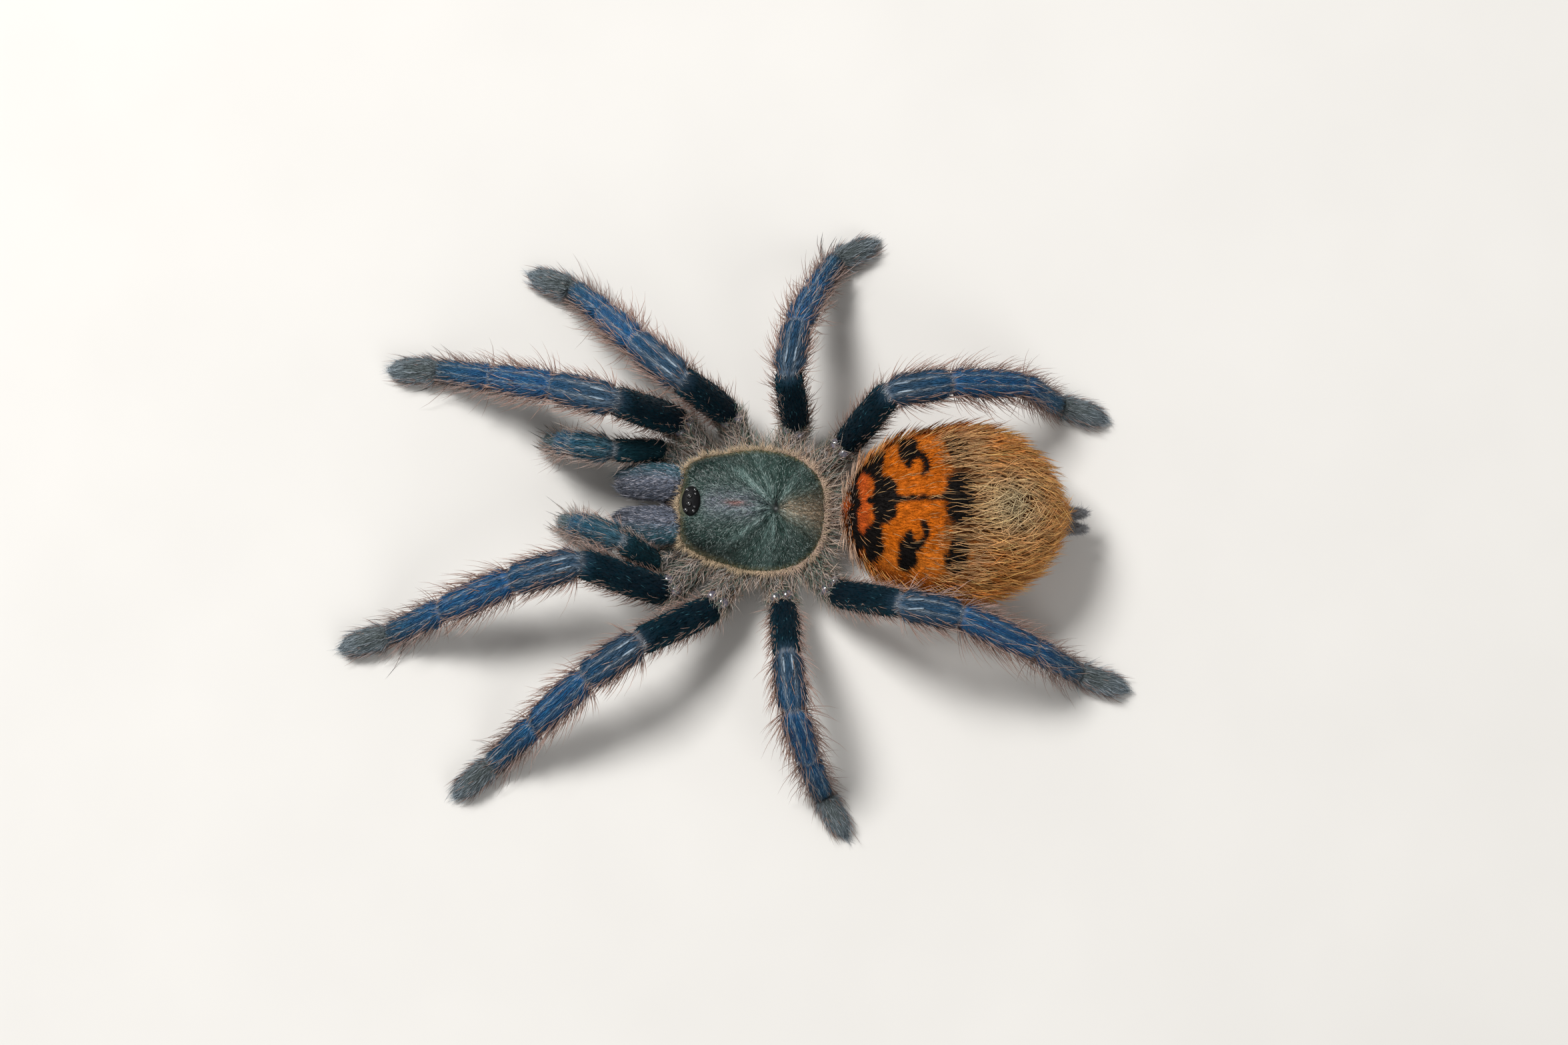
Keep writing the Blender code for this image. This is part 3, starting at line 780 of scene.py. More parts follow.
skin_finish, nodes, links, shader = new_material("spider_skin", roughness=0.7, specular=0.08, sheen=0.03)
shader.inputs["Sheen Roughness"].default_value = 0.5
combed = stored(nodes, "combed", "Vector")
streaks = grain(nodes, links, combed, scale=7.0, stretch=(0.28, 1.3, 1.3), detail=4.0)
pores = grain(nodes, links, combed, scale=3.0, detail=2.0)
streaked = shade_by(nodes, links, stored(nodes, "tint"), spread(nodes, links, streaks, 0.55, 1.4))
mottled = shade_by(nodes, links, streaked, spread(nodes, links, pores, 0.85, 1.12))
links.new(mottled, shader.inputs["Base Color"])
links.new(spread(nodes, links, streaks, 0.8, 0.6), shader.inputs["Roughness"])
bump(nodes, links, streaks, shader, strength=0.7, distance=0.00012)
skin = object_from("skin", skin_bm, skin_finish)
FLESH_NAMES = ("leg_", "palp_", "chelicera", "spinneret", "abdomen", "pedicel")
flesh = [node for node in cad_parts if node.startswith(FLESH_NAMES)]
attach(skin, "root")
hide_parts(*flesh)
print("skin faces", len(skin.data.polygons), "stands for", len(flesh), "solids")

# %% [markdown]
# ## Hair
# Every hair is a thin needle that starts as a cone with three sides. The shortest
# velvet stays a plain cone, and longer hair is cut across once or twice, so that it can
# bend. The one needle is then repeated all over a part, each copy with its own root,
# direction, length and pair of colours, and joined into a single mesh. Each hair also
# has its own small square on the texture map, laid out as the skin would be if it were
# slit and unrolled: one way is along the part, and the other is the way round it.

# %% One needle
PATCH = 0.003  # the side of one hair's square on the texture map


def needle_shape(cuts):
    """The points and faces of a needle of length 1 and width 1 that stands on its base."""
    bm = bmesh.new()
    bmesh.ops.create_cone(bm, cap_ends=True, segments=3, radius1=0.5, radius2=0, depth=1)
    bmesh.ops.remove_doubles(bm, verts=bm.verts, dist=1e-4)
    bmesh.ops.translate(bm, vec=(0, 0, 0.5), verts=bm.verts)
    for k in range(cuts):
        whole = bm.verts[:] + bm.edges[:] + bm.faces[:]
        bmesh.ops.bisect_plane(bm, geom=whole, plane_co=(0, 0, (k + 1) / (cuts + 1)), plane_no=(0, 0, 1))
    bm.verts.index_update()
    points = np.array([v.co for v in bm.verts])
    faces = [[v.index for v in face.verts] for face in bm.faces]
    bm.free()
    height = points[:, 2]
    swell = np.where(height < 0.999, (1 - height**2) / np.maximum(1 - height, 1e-3), 1)
    return points * np.stack([swell, swell, np.ones(len(points))], axis=1), faces


NEEDLES = {cuts: needle_shape(cuts) for cuts in (0, 1, 2)}
for cuts, (points, faces) in NEEDLES.items():
    triangles = sum(len(face) - 2 for face in faces)
    print("needle with", cuts, "cuts:", len(points), "points", triangles, "triangles")

# %% [markdown]
# Growing a coat copies the needle once per hair. A Geometry Nodes instancer could do it
# too, but the hairs have to be real, joined mesh in the end, and each wants a bend and
# colours of its own, so the copies are worked out together as one large sum.

# %% A coat of needles
coat_pieces = []


def grow(name, hairs, material, cuts=1):
    """One mesh of needles. Hairs holds, per hair, its root, normal, lean (its direction),
    bend (where the tip is carried), length, width, low and high colours and patch, and
    for wavy hair its curl, which swings it one way and then the other."""
    shape, faces = NEEDLES[cuts]
    height = shape[:, 2]
    count, corners = len(hairs["root"]), len(shape)
    lean = unit(hairs["lean"])
    side = unit(np.cross(lean, hairs["normal"] + 1e-4))
    rise = np.cross(lean, side)
    points = hairs["root"][:, None] + lean[:, None] * (hairs["length"][:, None] * height)[..., None]
    points += hairs["bend"][:, None] * (height**2)[:, None]
    if "curl" in hairs:
        points += hairs["curl"][:, None] * (np.sin(2 * math.pi * height) * height)[:, None]
    wide = hairs["width"][:, None, None]
    points += (side[:, None] * shape[:, :1] + rise[:, None] * shape[:, 1:2]) * wide
    points[..., 2] = np.maximum(points[..., 2], FLOOR_GAP)
    mesh = bpy.data.meshes.new(name)
    mesh.vertices.add(count * corners)
    mesh.vertices.foreach_set("co", points.ravel())
    in_faces = np.concatenate(faces)
    sizes = np.array([len(face) for face in faces])
    mesh.loops.add(count * len(in_faces))
    mesh.loops.foreach_set("vertex_index", (in_faces + np.arange(count)[:, None] * corners).ravel())
    mesh.polygons.add(count * len(faces))
    starts = np.cumsum(sizes) - sizes
    mesh.polygons.foreach_set("loop_start", (starts + np.arange(count)[:, None] * len(in_faces)).ravel())
    mesh.update(calc_edges=True)
    mesh.shade_smooth()
    colours = np.ones((count, corners, 4))
    colours[..., :3] = hairs["low"][:, None] * (1 - height)[:, None]
    colours[..., :3] += hairs["high"][:, None] * height[:, None]
    tint = mesh.attributes.new("tint", "FLOAT_COLOR", "POINT")
    tint.data.foreach_set("color", colours.ravel())
    inside = np.stack([shape[:, 0] * 0.8, height * 0.9 - 0.45], axis=1)[in_faces] * PATCH
    chart = mesh.uv_layers.new(name="OFBake")
    chart.data.foreach_set("uv", (inside + np.clip(hairs["patch"], PATCH, 1 - PATCH)[:, None]).ravel())
    mesh.materials.append(material)
    coat = bpy.data.objects.new(name, mesh)
    bpy.context.collection.objects.link(coat)
    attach(coat, "root")
    coat_pieces.append((name, count, count * int((sizes - 2).sum())))
    return coat


# %% [markdown]
# Roots are spread evenly but not in step, since a regular grid would show as stripes.
# At each root the skin gives three directions: out of it, along it towards the tip, and
# round it. A coat is then laid with a few plain settings: how far the hair lifts off
# the skin, how far it strays sideways, how long and wide it is, and how much it droops.
# Every coat throws numbered dice of its own, so one can be changed and the rest stay.

# %% Where hairs stand on a tube, and how they lie
def roots_at(tube, along, turn, depth, cells, dice):
    """Roots for hairs at places of a tube, each with the way out of the skin, the way
    along it and the way round it."""
    small = 0.06 * MM
    root = on_tube(tube, along, turn, depth)
    before = on_tube(tube, np.maximum(along - small, 0), turn, depth)
    after = on_tube(tube, np.minimum(along + small, tube["length"]), turn, depth)
    forward = unit(after - before)
    round_way = unit(on_tube(tube, along, turn + 0.03, depth) - on_tube(tube, along, turn - 0.03, depth))
    out = unit(np.cross(forward, round_way))
    from_far_side = root - on_tube(tube, along, turn + math.pi, depth)
    out *= np.sign((from_far_side * out).sum(axis=1, keepdims=True))
    return {
        "along": along, "turn": turn, "root": root - out * 0.03 * MM, "normal": out,
        "forward": forward, "round": round_way, "patch": cells, "luck": dice.random(len(root)),
    }


def spread_evenly(rows, columns, dice):
    """Two shares per hair, even over a part but not in step, and the cell each is in."""
    row, column = (index.ravel() for index in np.indices((rows, columns)))
    cells = np.stack([(row + 0.5) / rows, (column + 0.5) / columns], axis=1)
    return (row + dice.random(row.size)) / rows, (column + dice.random(row.size)) / columns, cells


def scatter(tube, rows, columns, dice, depth, start=0.0, end=1.0):
    """Roots all over a tube, or between two shares of its length."""
    row, column, cells = spread_evenly(rows, columns, dice)
    along = tube["length"] * (start + (end - start) * row)
    return roots_at(tube, along, 2 * math.pi * column, depth, cells, dice)


def lay(field, dice, lift, lift_spread, stray, length, width, droop):
    """Lays hairs along the way the coat lies. Lift is the angle off the skin, stray the
    angle sideways, in degrees, and droop bends the tip back down to the skin."""
    count = len(field["root"])
    lifted = np.radians(np.maximum(lift + lift_spread * dice.standard_normal(count), 2.0))[:, None]
    strayed = np.radians(stray * dice.standard_normal(count))[:, None]
    flat = field["forward"] * np.cos(strayed) + field["round"] * np.sin(strayed)
    field["lean"] = flat * np.cos(lifted) + field["normal"] * np.sin(lifted)
    field["length"] = length * (1 + 0.22 * dice.standard_normal(count)).clip(0.5, 1.5)
    field["width"] = width * (0.8 + 0.4 * dice.random(count))
    field["bend"] = (flat * 0.35 - field["normal"] * np.sin(lifted)) * (droop * field["length"])[:, None]
    return field


def keep(field, chosen):
    """Only the hairs that a rule chooses."""
    return {key: value[chosen] for key, value in field.items()}


def tint_hairs(field, tone, at_root, at_tip):
    """Colours hairs from darker roots to lighter tips, as parts of one tone."""
    field["low"], field["high"] = tone * at_root, np.clip(tone * at_tip, 0, 1)
    return field


def hair_finish(name, roughness, metallic=0.0, specular=0.3):
    """A hair's colour runs from root to tip, with slow changes of shade over the body."""
    material, nodes, links, shader = new_material(name, roughness, metallic, specular)
    drift = grain(nodes, links, own_place(nodes), scale=900, detail=2.0)
    shade = shade_by(nodes, links, stored(nodes, "tint"), spread(nodes, links, drift, 0.84, 1.16))
    gloss = spread(nodes, links, drift, roughness - 0.08, roughness + 0.08)
    links.new(shade, shader.inputs["Base Color"])
    links.new(gloss, shader.inputs["Roughness"])
    return material


# %% [markdown]
# ## The coat of the legs
# Flat hair, less than a millimetre long, covers each segment and points to the foot.
# It is what makes the legs blue. It is kept short and close so that the form under it
# still reads, and the tips break up the edges. On the foot some of the hairs are paler
# and stand out, as a small brush.

# %% Flat hair on legs and feelers
blue_hair = hair_finish("blue_leg_hair", roughness=0.45)
thigh_hair = hair_finish("navy_thigh_velvet", roughness=0.7, specular=0.03)
FLECK = paint(58, 100, 110)  # a few paler hairs in the dark velvet
for number, (name, tube) in enumerate(limbs.items()):
    dice = np.random.default_rng(100 + number)
    leg = name.startswith("leg")
    rows, columns = (150, 42) if leg else (76, 34)
    past_hip = tube["joints"][1] / tube["length"]
    field = scatter(tube, rows, columns, dice, COAT_DEPTH[kind_of(name)], start=past_hip)
    kind, _, _ = segment_of(tube, field["along"])
    thigh, foot = kind == FEMUR, kind == TARSUS
    brush = foot & (field["luck"] > 0.8)
    field = lay(
        field, dice,
        lift=np.select([brush, foot, thigh], [30, 10, 8], 13 if leg else 19), lift_spread=6,
        stray=np.where(foot, 12, 10),
        length=np.select([brush, foot], [1.15, 0.72], 0.74 if leg else 0.9) * MM,
        width=0.052 * MM, droop=0.3,
    )
    gap = tube["joints"][:-1] - field["along"][:, None]  # the coat runs on over the ankle
    before_joint = np.where(gap > 0, gap, 1).min(axis=1)
    shorter = 1 - 0.45 * soft_step(-before_joint, -0.5 * MM, 0.6 * MM)
    field["length"] *= np.where(thigh, 0.62, 1.0) * shorter
    field["width"] *= np.select([thigh, brush], [1.2, 0.75], 1.0)
    tone = limb_colour(tube, field["along"], field["turn"], field["luck"])
    tone = blend(tone, PALE_LINE, 0.35 * brush)
    tone = np.where((thigh & (field["luck"] > 0.97))[:, None], FLECK, tone)
    at_root = np.select([thigh, foot], [0.8, 0.75], 0.55)[:, None]
    at_tip = np.where(thigh, 1.1, 1.25)[:, None]
    field = tint_hairs(field, tone, at_root, at_tip)
    grow(f"coat_{name}", keep(field, ~thigh), blue_hair)
    grow(f"thigh_{name}", keep(field, thigh), thigh_hair)

# %% [markdown]
# Two pale lines run down the top of the knee, shin and foot, and a ring of white hairs
# marks each joint. They are rows of pale hairs laid end over end, which keeps them
# crisp where a painted line on the skin would be hidden by the coat.

# %% Pale lines and joint rings
pale_hair = hair_finish("pale_line_hair", roughness=0.4)
LINE_TURNS = (math.radians(70), math.radians(110))
RING_HAIRS = 36
for number, (name, tube) in enumerate(limbs.items()):
    dice = np.random.default_rng(150 + number)
    ringed = tube["joints"][2:]
    line = np.arange(ringed[0] + 0.3 * MM, tube["length"] - 0.9 * MM, 0.13 * MM)
    rings = [joint + 0.1 * MM * dice.standard_normal(RING_HAIRS) - 0.1 * MM for joint in ringed]
    along = np.concatenate([line, line, *rings])
    on_line = np.arange(len(along)) < 2 * len(line)
    ring_turns = math.pi * (dice.random(RING_HAIRS * len(ringed)) * 1.2 - 0.1)
    turn = np.concatenate([np.repeat(LINE_TURNS, len(line)), ring_turns])
    turn = turn + np.where(on_line, 0.03, 0.0) * dice.standard_normal(len(turn))
    cells = np.stack([along / tube["length"], (turn / (2 * math.pi)) % 1], axis=1)
    field = roots_at(tube, along, turn, COAT_DEPTH[kind_of(name)] - 0.07 * MM, cells, dice)
    field = lay(
        field, dice, lift=9, lift_spread=4, stray=np.where(on_line, 6, 26),
        length=np.where(on_line, 0.6, 0.4) * MM, width=0.04 * MM, droop=0.3,
    )
    field = keep(field, dice.random(len(along)) < np.where(on_line, 0.55, 0.9))
    tone = blend(PALE_LINE * 0.45, PALE_LINE, field["luck"])
    grow(f"lines_{name}", tint_hairs(field, tone, 0.7, 1.15), pale_hair)

# %% [markdown]
# Long bristles stand off both sides of every leg, pinkish tan and swept towards the
# foot. Against a plain ground they are the first thing the eye takes in. The top of
# the leg is left almost clear of them, so that the blue shows.

# %% Long bristles on legs and feelers
BRISTLE_ROOT = paint(124, 102, 96)
BRISTLE_TIP = paint(202, 172, 160)
BRISTLE_RUST = paint(164, 128, 108)
BRISTLE_GREY = paint(150, 148, 148)
BRISTLE_PALE = paint(222, 208, 194)
bristle_hair = hair_finish("tan_bristle", roughness=0.5)
for number, (name, tube) in enumerate(limbs.items()):
    dice = np.random.default_rng(200 + number)
    leg = name.startswith("leg")
    rows, past_hip = 126 if leg else 80, tube["joints"][1] / tube["length"]
    field = scatter(tube, rows, 26, dice, COAT_DEPTH[kind_of(name)], start=past_hip, end=0.985)
    kind, share, _ = segment_of(tube, field["along"])
    parts = [kind == FEMUR, kind == PATELLA, kind == TIBIA, kind == METATARSUS]
    if leg:
        long = np.select(parts, [1.4, 1.9, 2.4, 2.2], 1.05)
    else:
        long = np.select(parts[:2], [1.0, 1.5], 2.2)
    long = long * (0.75 + 0.7 * dice.random(len(long)) ** 2)
    on_top = soft_step(np.sin(field["turn"]), 0.34, 0.5)
    lift = np.select([kind == FEMUR, kind == TARSUS], [48, 26], 38 if leg else 27)
    field = lay(
        field, dice, lift=lift * (1 - 0.6 * on_top), lift_spread=10 - 6 * on_top, stray=13,
        length=long * (1 - 0.45 * on_top) * MM,
        width=np.where(kind == FEMUR, 0.052, 0.066) * MM, droop=0.3,
    )
    sides = np.abs(np.cos(field["turn"]))
    below = np.sin(field["turn"]) < 0
    wanted = np.where(below, 0.3, np.where(kind == FEMUR, 0.0, 0.05))
    wanted = wanted + 0.5 * soft_step(sides, 0.72, 0.35)
    tip = blend(BRISTLE_TIP, BRISTLE_RUST, field["luck"] ** 2)
    tip = blend(tip, BRISTLE_GREY, np.where(kind >= METATARSUS, 0.45, 0.0) if leg else 0.3)
    tip = tip if leg else blend(tip, BRISTLE_PALE, 0.7 * share)
    field["low"], field["high"] = blend(BRISTLE_ROOT, BRISTLE_RUST, 0.4 * field["luck"]), tip
    field = keep(field, dice.random(len(sides)) < wanted)
    grow(f"bristles_{name}", field, bristle_hair, cuts=2)

# %% [markdown]
# Round the hips the hair is longer and untidy, grey to pinkish beige. Two smooth, shiny
# knobs show through it on top of each hip, where the thigh is hung, and two more near
# the inner base of each jaw. Along the top of each knee run two narrow bare stripes,
# which are dull. Knobs and stripes are flattened balls that are set into the coat.

# %% Shaggy hips and their shiny knobs
SHAG_PINK = paint(206, 182, 164)
SHAG_GREY = paint(160, 158, 156)
SHAG_GREEN = paint(104, 126, 112)
SHAG_RUST = paint(150, 112, 84)
shag_hair = hair_finish("grey_shag", roughness=0.45)
HIP_KNOB_TURNS = (60, 120)  # degrees round the hip
KNEE_STRIPES = ((74, 1.2), (106, 1.05))  # degrees round the knee, and mm past its joint
JAW_KNOBS = ((42, 1.05, 0.26), (78, 0.9, 0.22))  # degrees round the jaw, mm along it, radius in mm


def shag_colours(field, dice, pink=0.5):
    """Grey to pinkish beige, with a few hairs gone green or rusty, and a wave in each."""
    luck = field["luck"]
    tone = blend(SHAG_GREY, SHAG_PINK, dice.random(len(luck)) * 2 * pink)
    tone = blend(tone, SHAG_GREEN, (luck < 0.24) * 1.0)
    tone = blend(tone, SHAG_RUST, (np.abs(luck - 0.33) < 0.06) * 0.8)
    waves = dice.standard_normal((2, len(tone), 1)) * field["length"][:, None]
    field["bend"] = field["bend"] + field["round"] * 0.22 * waves[0]
    field["curl"] = field["round"] * 0.1 * waves[1]
    return tint_hairs(field, tone, 0.5, (0.8 + 0.6 * luck)[:, None])


def spot_on(tube, along, degrees, depth):
    """One point of a tube."""
    return on_tube(tube, np.array(along), np.array(math.radians(degrees)), depth)


def bare_spot(bm, spot, radius, flatness=0.6, stretch=1.0, axis=(0, 1, 0)):
    """A small flattened ball, which may be stretched along an axis."""
    knob = bmesh.ops.create_uvsphere(bm, u_segments=20, v_segments=12, radius=radius)["verts"]
    bmesh.ops.scale(bm, vec=(1, stretch, flatness), verts=knob)
    bmesh.ops.transform(bm, matrix=Vector(axis).to_track_quat("Y", "Z").to_matrix(), verts=knob)
    bmesh.ops.translate(bm, vec=spot, verts=knob)


knob_bm = bmesh.new()
for number, (name, tube) in enumerate(limbs.items()):
    dice = np.random.default_rng(300 + number)
    hip = tube["joints"][1]
    long = 1.3 if name.startswith("leg") else 0.9
    field = scatter(tube, 30, 34, dice, depth=0.1 * MM, end=(hip + 0.15 * MM) / tube["length"])
    field = lay(
        field, dice, lift=30, lift_spread=14, stray=32,
        length=long * MM, width=0.066 * MM, droop=0.4,
    )
    grow(f"shag_{name}", shag_colours(field, dice), shag_hair, cuts=2)
    if name in LEG_NAMES:
        for degrees in HIP_KNOB_TURNS:
            bare_spot(knob_bm, spot_on(tube, hip - 0.45 * MM, degrees, 0.1 * MM), 0.46 * MM)
stripe_bm = bmesh.new()
for name in LEG_NAMES:
    tube, depth = limbs[name], COAT_DEPTH["leg"] - 0.09 * MM
    for degrees, past in KNEE_STRIPES:
        along = tube["joints"][2] + past * MM
        spot = spot_on(tube, along, degrees, depth)
        ahead = spot_on(tube, along + 0.5 * MM, degrees, depth) - spot
        bare_spot(stripe_bm, spot, 0.08 * MM, flatness=0.7, stretch=8.5, axis=ahead)
for name, tube in jaw_tubes.items():
    for degrees, along, radius in JAW_KNOBS:
        degrees = degrees if name.endswith("l") else 180 - degrees
        bare_spot(knob_bm, spot_on(tube, along * MM, degrees, -0.02 * MM), radius * MM)


def bare_finish(name, dark, light, roughness, coat):
    """Bare hard skin: mottled between two colours and faintly uneven."""
    material, nodes, links, shader = new_material(name, roughness=roughness, specular=0.7, coat=coat)
    shader.inputs["Coat Roughness"].default_value = 0.05
    spot = own_place(nodes)
    mottle = spread(nodes, links, grain(nodes, links, spot, scale=2600), 0, 1)
    uneven = grain(nodes, links, spot, scale=5000)
    links.new(between(nodes, links, mottle, dark, light), shader.inputs["Base Color"])
    bump(nodes, links, uneven, shader, strength=0.15, distance=0.00003)
    return material


knob_finish = bare_finish("shiny_knob", paint(70, 66, 76), paint(112, 106, 118), 0.2, coat=1.0)
knee_finish = bare_finish("bare_knee", paint(84, 104, 122), paint(136, 152, 164), 0.55, coat=0.0)
for name, bm, finish in (("hip_knobs", knob_bm, knob_finish), ("knee_stripes", stripe_bm, knee_finish)):
    bare = object_from(name, bm, finish)
    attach(bare, "root")

# %% [markdown]
# ## The coat of the abdomen
# Two kinds of hair grow here. Short velvet carries the orange and the black, and long
# bristles, straw-coloured at the tips, sweep backwards. The long ones thin out over the
# marks in front and crowd together behind, where they hide the dark skin.

# %% Velvet and long bristles on the abdomen
straw_hair = hair_finish("straw_bristle", roughness=0.42)
velvet_hair = hair_finish("orange_velvet", roughness=0.75, specular=0.08)
STRAW_ROOTS = np.array([0.36, 0.24, 0.14])  # long hair is darker and redder at its roots
HALVES = ((0.0, 0.5), (0.5, 1.0))  # the front and the back half are pieces of their own
for half, (start, end) in enumerate(HALVES):
    dice = np.random.default_rng(400 + half)
    field = scatter(abdomen_tube, 96, 152, dice, COAT_DEPTH["abdomen"], start, end)
    field = lay(
        field, dice, lift=9, lift_spread=4, stray=15,
        length=0.42 * MM, width=0.085 * MM, droop=0.0,
    )
    field = tint_hairs(field, egg_colour(field["root"], field["luck"], 0.0), 0.85, 1.1)
    field["patch"][:, 0] = start + (end - start) * field["patch"][:, 0]
    grow(f"velvet_{half + 1}", field, velvet_hair, cuts=0)


def long_hair_share(side, back, up):
    """How thickly long bristles stand: sparse over the marks in front, full behind and
    down the flanks."""
    top, above = soft_step(up, 0.9, 2.2), soft_step(up, -2.4, 2.4)
    front = soft_step(-back, 1.4, 1.2)
    across = np.maximum(soft_step(2.5 - np.abs(side), 0, 0.8), 0.9 * bell(side, 4.3, 0.8))
    band = soft_step(-back, -1.35, 0.8) * across
    return 1 - above * np.maximum(front * (0.45 + 0.47 * top), 0.88 * band)


for half, (start, end) in enumerate(HALVES):
    dice = np.random.default_rng(420 + half)
    field = scatter(abdomen_tube, 52, 104, dice, COAT_DEPTH["abdomen"], start, end)
    side, back, up = egg_place(field["root"])
    on_top, flank = soft_step(up, 1.0, 2.0), soft_step(-up, -3.4, 3.0)
    # Behind the middle lies a patch of short tangled hair. Over the marks hair is fine.
    tangle = bell(side, 0.5, 1.5) * bell(back, 4.4, 1.5) * on_top
    fine = soft_step(-back, -1.2, 0.8) * soft_step(up, 1.0 + 0.3 * np.abs(side), 2.0)
    long = (2.5 - 1.1 * tangle) * (0.78 + 0.2 * bell(back, 3, 3) - 0.12 * soft_step(back, 6, 3))
    long = long * (1 - 0.45 * soft_step(-back, 1.4, 0.8) * on_top)
    # Elsewhere neighbours lean the same way, as locks, by up to 15 degrees.
    locks = 15 * np.sin(side * 2.1 + 1.7 * np.sin(back * 0.9)) * np.sin(back * 1.3 + side)
    swing = np.tan(np.radians(locks * (1 - fine)))
    field["forward"] = unit(field["forward"] + field["round"] * swing[:, None])
    field = lay(
        field, dice, lift=11 + 22 * flank, lift_spread=7, stray=9 + 60 * tangle,
        length=long * MM, width=(0.105 - 0.035 * tangle - 0.06 * fine) * MM, droop=0.3,
    )
    # Each hair sways and curls by chance, and the tips of a lock gather to its middle.
    sway = (0.2 - 0.08 * fine) * dice.standard_normal(len(side)) * field["length"]
    curl = 0.07 * dice.standard_normal(len(side)) * field["length"]
    gather = -0.24 * MM * np.sin(side * 7.4 + 1.5 * np.sin(back * 1.1)) * (1 - tangle) * (1 - fine)
    field["bend"] = field["bend"] + field["round"] * sway[:, None]
    field["bend"] = field["bend"] + field["round"] * gather[:, None]
    field["curl"] = field["round"] * curl[:, None]
    middle = field["root"] + field["lean"] * field["length"][:, None] * 0.5
    wanted = long_hair_share(*egg_place(middle)) * np.where(tangle > 0.3, 1.0, 0.92)
    tip = egg_colour(middle, field["luck"], 1.0)
    tip = blend(tip, SHAG_PINK, 0.9 * soft_step(-back, 7.7, 0.8) * soft_step(-up, -1.8, 1.5))
    tip = blend(tip, CREAM, 0.5 * fine)
    # Tips are painted lighter in the middle of each lock and darker in the partings between locks, as
    # painted light and shade.
    tip = tip * (0.68 + 0.55 * np.cos(side * 3.7 + 0.75 * np.sin(back * 1.1)) ** 2)[:, None]
    field = tint_hairs(field, tip, STRAW_ROOTS, 1.15)
    field["patch"][:, 0] = start + (end - start) * field["patch"][:, 0]
    field = keep(field, dice.random(len(wanted)) < wanted)
    grow(f"bristles_abdomen_{half + 1}", field, straw_hair, cuts=2)

# %% [markdown]
# Where the abdomen curves in to the waist, a collar of short hair stands out all round
# and hides the gap. It is grown on the first twentieth of the same tube.

# %% A soft collar round the abdomen's front
dice = np.random.default_rng(440)
field = scatter(abdomen_tube, 12, 54, dice, COAT_DEPTH["abdomen"], end=0.05)
field = lay(
    field, dice, lift=42, lift_spread=16, stray=40,
    length=0.62 * MM, width=0.042 * MM, droop=0.3,
)
tone = blend(ORANGE, SHAG_PINK, 0.85 * (field["luck"] > 0.35))
grow("collar_abdomen", tint_hairs(field, tone, 0.6, 1.05), straw_hair)

# %% [markdown]
# The jaws wear a close purplish grey coat with a few long hairs, and the spinnerets a
# pale tuft. Long shag grows from the waist, so that body and abdomen meet in hair.

# %% Hair on the jaws, waist and spinnerets
jaw_hair = hair_finish("grey_jaw_hair", roughness=0.45, metallic=0.1)
for number, (name, tube) in enumerate(jaw_tubes.items()):
    dice = np.random.default_rng(500 + number)
    field = scatter(tube, 66, 64, dice, COAT_DEPTH["jaw"], start=0.16)
    ahead = field["along"] / tube["length"]
    long = 0.46 + 0.5 * (dice.random(len(ahead)) < 0.06)
    long = long + 0.3 * (ahead > 0.8) * dice.random(len(ahead))
    field = lay(
        field, dice, lift=14, lift_spread=7, stray=12,
        length=long * MM, width=0.06 * MM, droop=0.25,
    )
    tone = jaw_colour(field["turn"], outer_side(name), field["luck"])
    tone = blend(tone, JAW_PALE, (field["luck"] > 0.8) * 0.9)
    grow(f"coat_{name}", tint_hairs(field, tone, 0.35, 1.3), jaw_hair)
for number, (name, tube) in enumerate(spinneret_tubes.items()):
    dice = np.random.default_rng(520 + number)
    field = scatter(tube, 44, 26, dice, COAT_DEPTH["spinneret"])
    field = lay(
        field, dice, lift=36, lift_spread=12, stray=28,
        length=0.66 * MM, width=0.038 * MM, droop=0.3,
    )
    tone = blend(SPINNERET_BLUE, SHAG_GREY, 0.9 * field["luck"])
    grow(f"coat_{name}", tint_hairs(field, tone, 0.75, 1.2), jaw_hair)
dice = np.random.default_rng(540)
field = scatter(waist_tube, 30, 44, dice, COAT_DEPTH["waist"])
field = lay(
    field, dice, lift=44, lift_spread=14, stray=26,
    length=1.35 * MM, width=0.06 * MM, droop=0.3,
)
tone = blend(SHAG_PINK, WAIST_BROWN, 0.8 * field["luck"])
grow("shag_waist", tint_hairs(field, tone, 0.5, 1.1), shag_hair, cuts=2)

# %% [markdown]
# ## The carapace
# The shield over the front body is a hard shell, so it stays a piece of its own. Its
# rim is cut square in front and round behind. A pit, the fovea, marks where the sucking
# stomach's muscles hold inside, and shallow furrows run out from it like spokes.

# %% The shell's form
RIM_SIDES = 120
shell_size = shell_high - shell_low
FOVEA = np.array([shell_middle[0], shell_middle[1] + 0.16 * SHELL_LENGTH])
RIM_HEIGHT, FOVEA_DEPTH = 0.3 * MM, 0.6 * MM
FURROWS = (  # angle from straight ahead, depth in mm, and width as an angle
    (0.74, 0.06, 0.05), (1.25, 0.03, 0.06), (1.75, 0.035, 0.06), (2.3, 0.03, 0.06),
)


def rim(turn):
    """The edge of the shell, as shares of its half width and half length: an oval, squarer
    in front, and narrower towards the jaws."""
    ahead, aside = np.cos(turn), np.sin(turn)
    power = np.where(ahead > 0, 8.0, 2.8)
    reach = (np.abs(ahead) ** power + np.abs(aside) ** power) ** (-1 / power)
    along = -ahead * reach
    narrowing = 0.29 * np.maximum(0, -along) ** 1.3 + 0.06 * np.maximum(0, along) ** 2
    return aside * reach * (1 - narrowing), along - 0.04 * np.maximum(0, ahead) ** 20


widest = np.abs(rim(np.linspace(0, math.pi, 400))[0]).max()


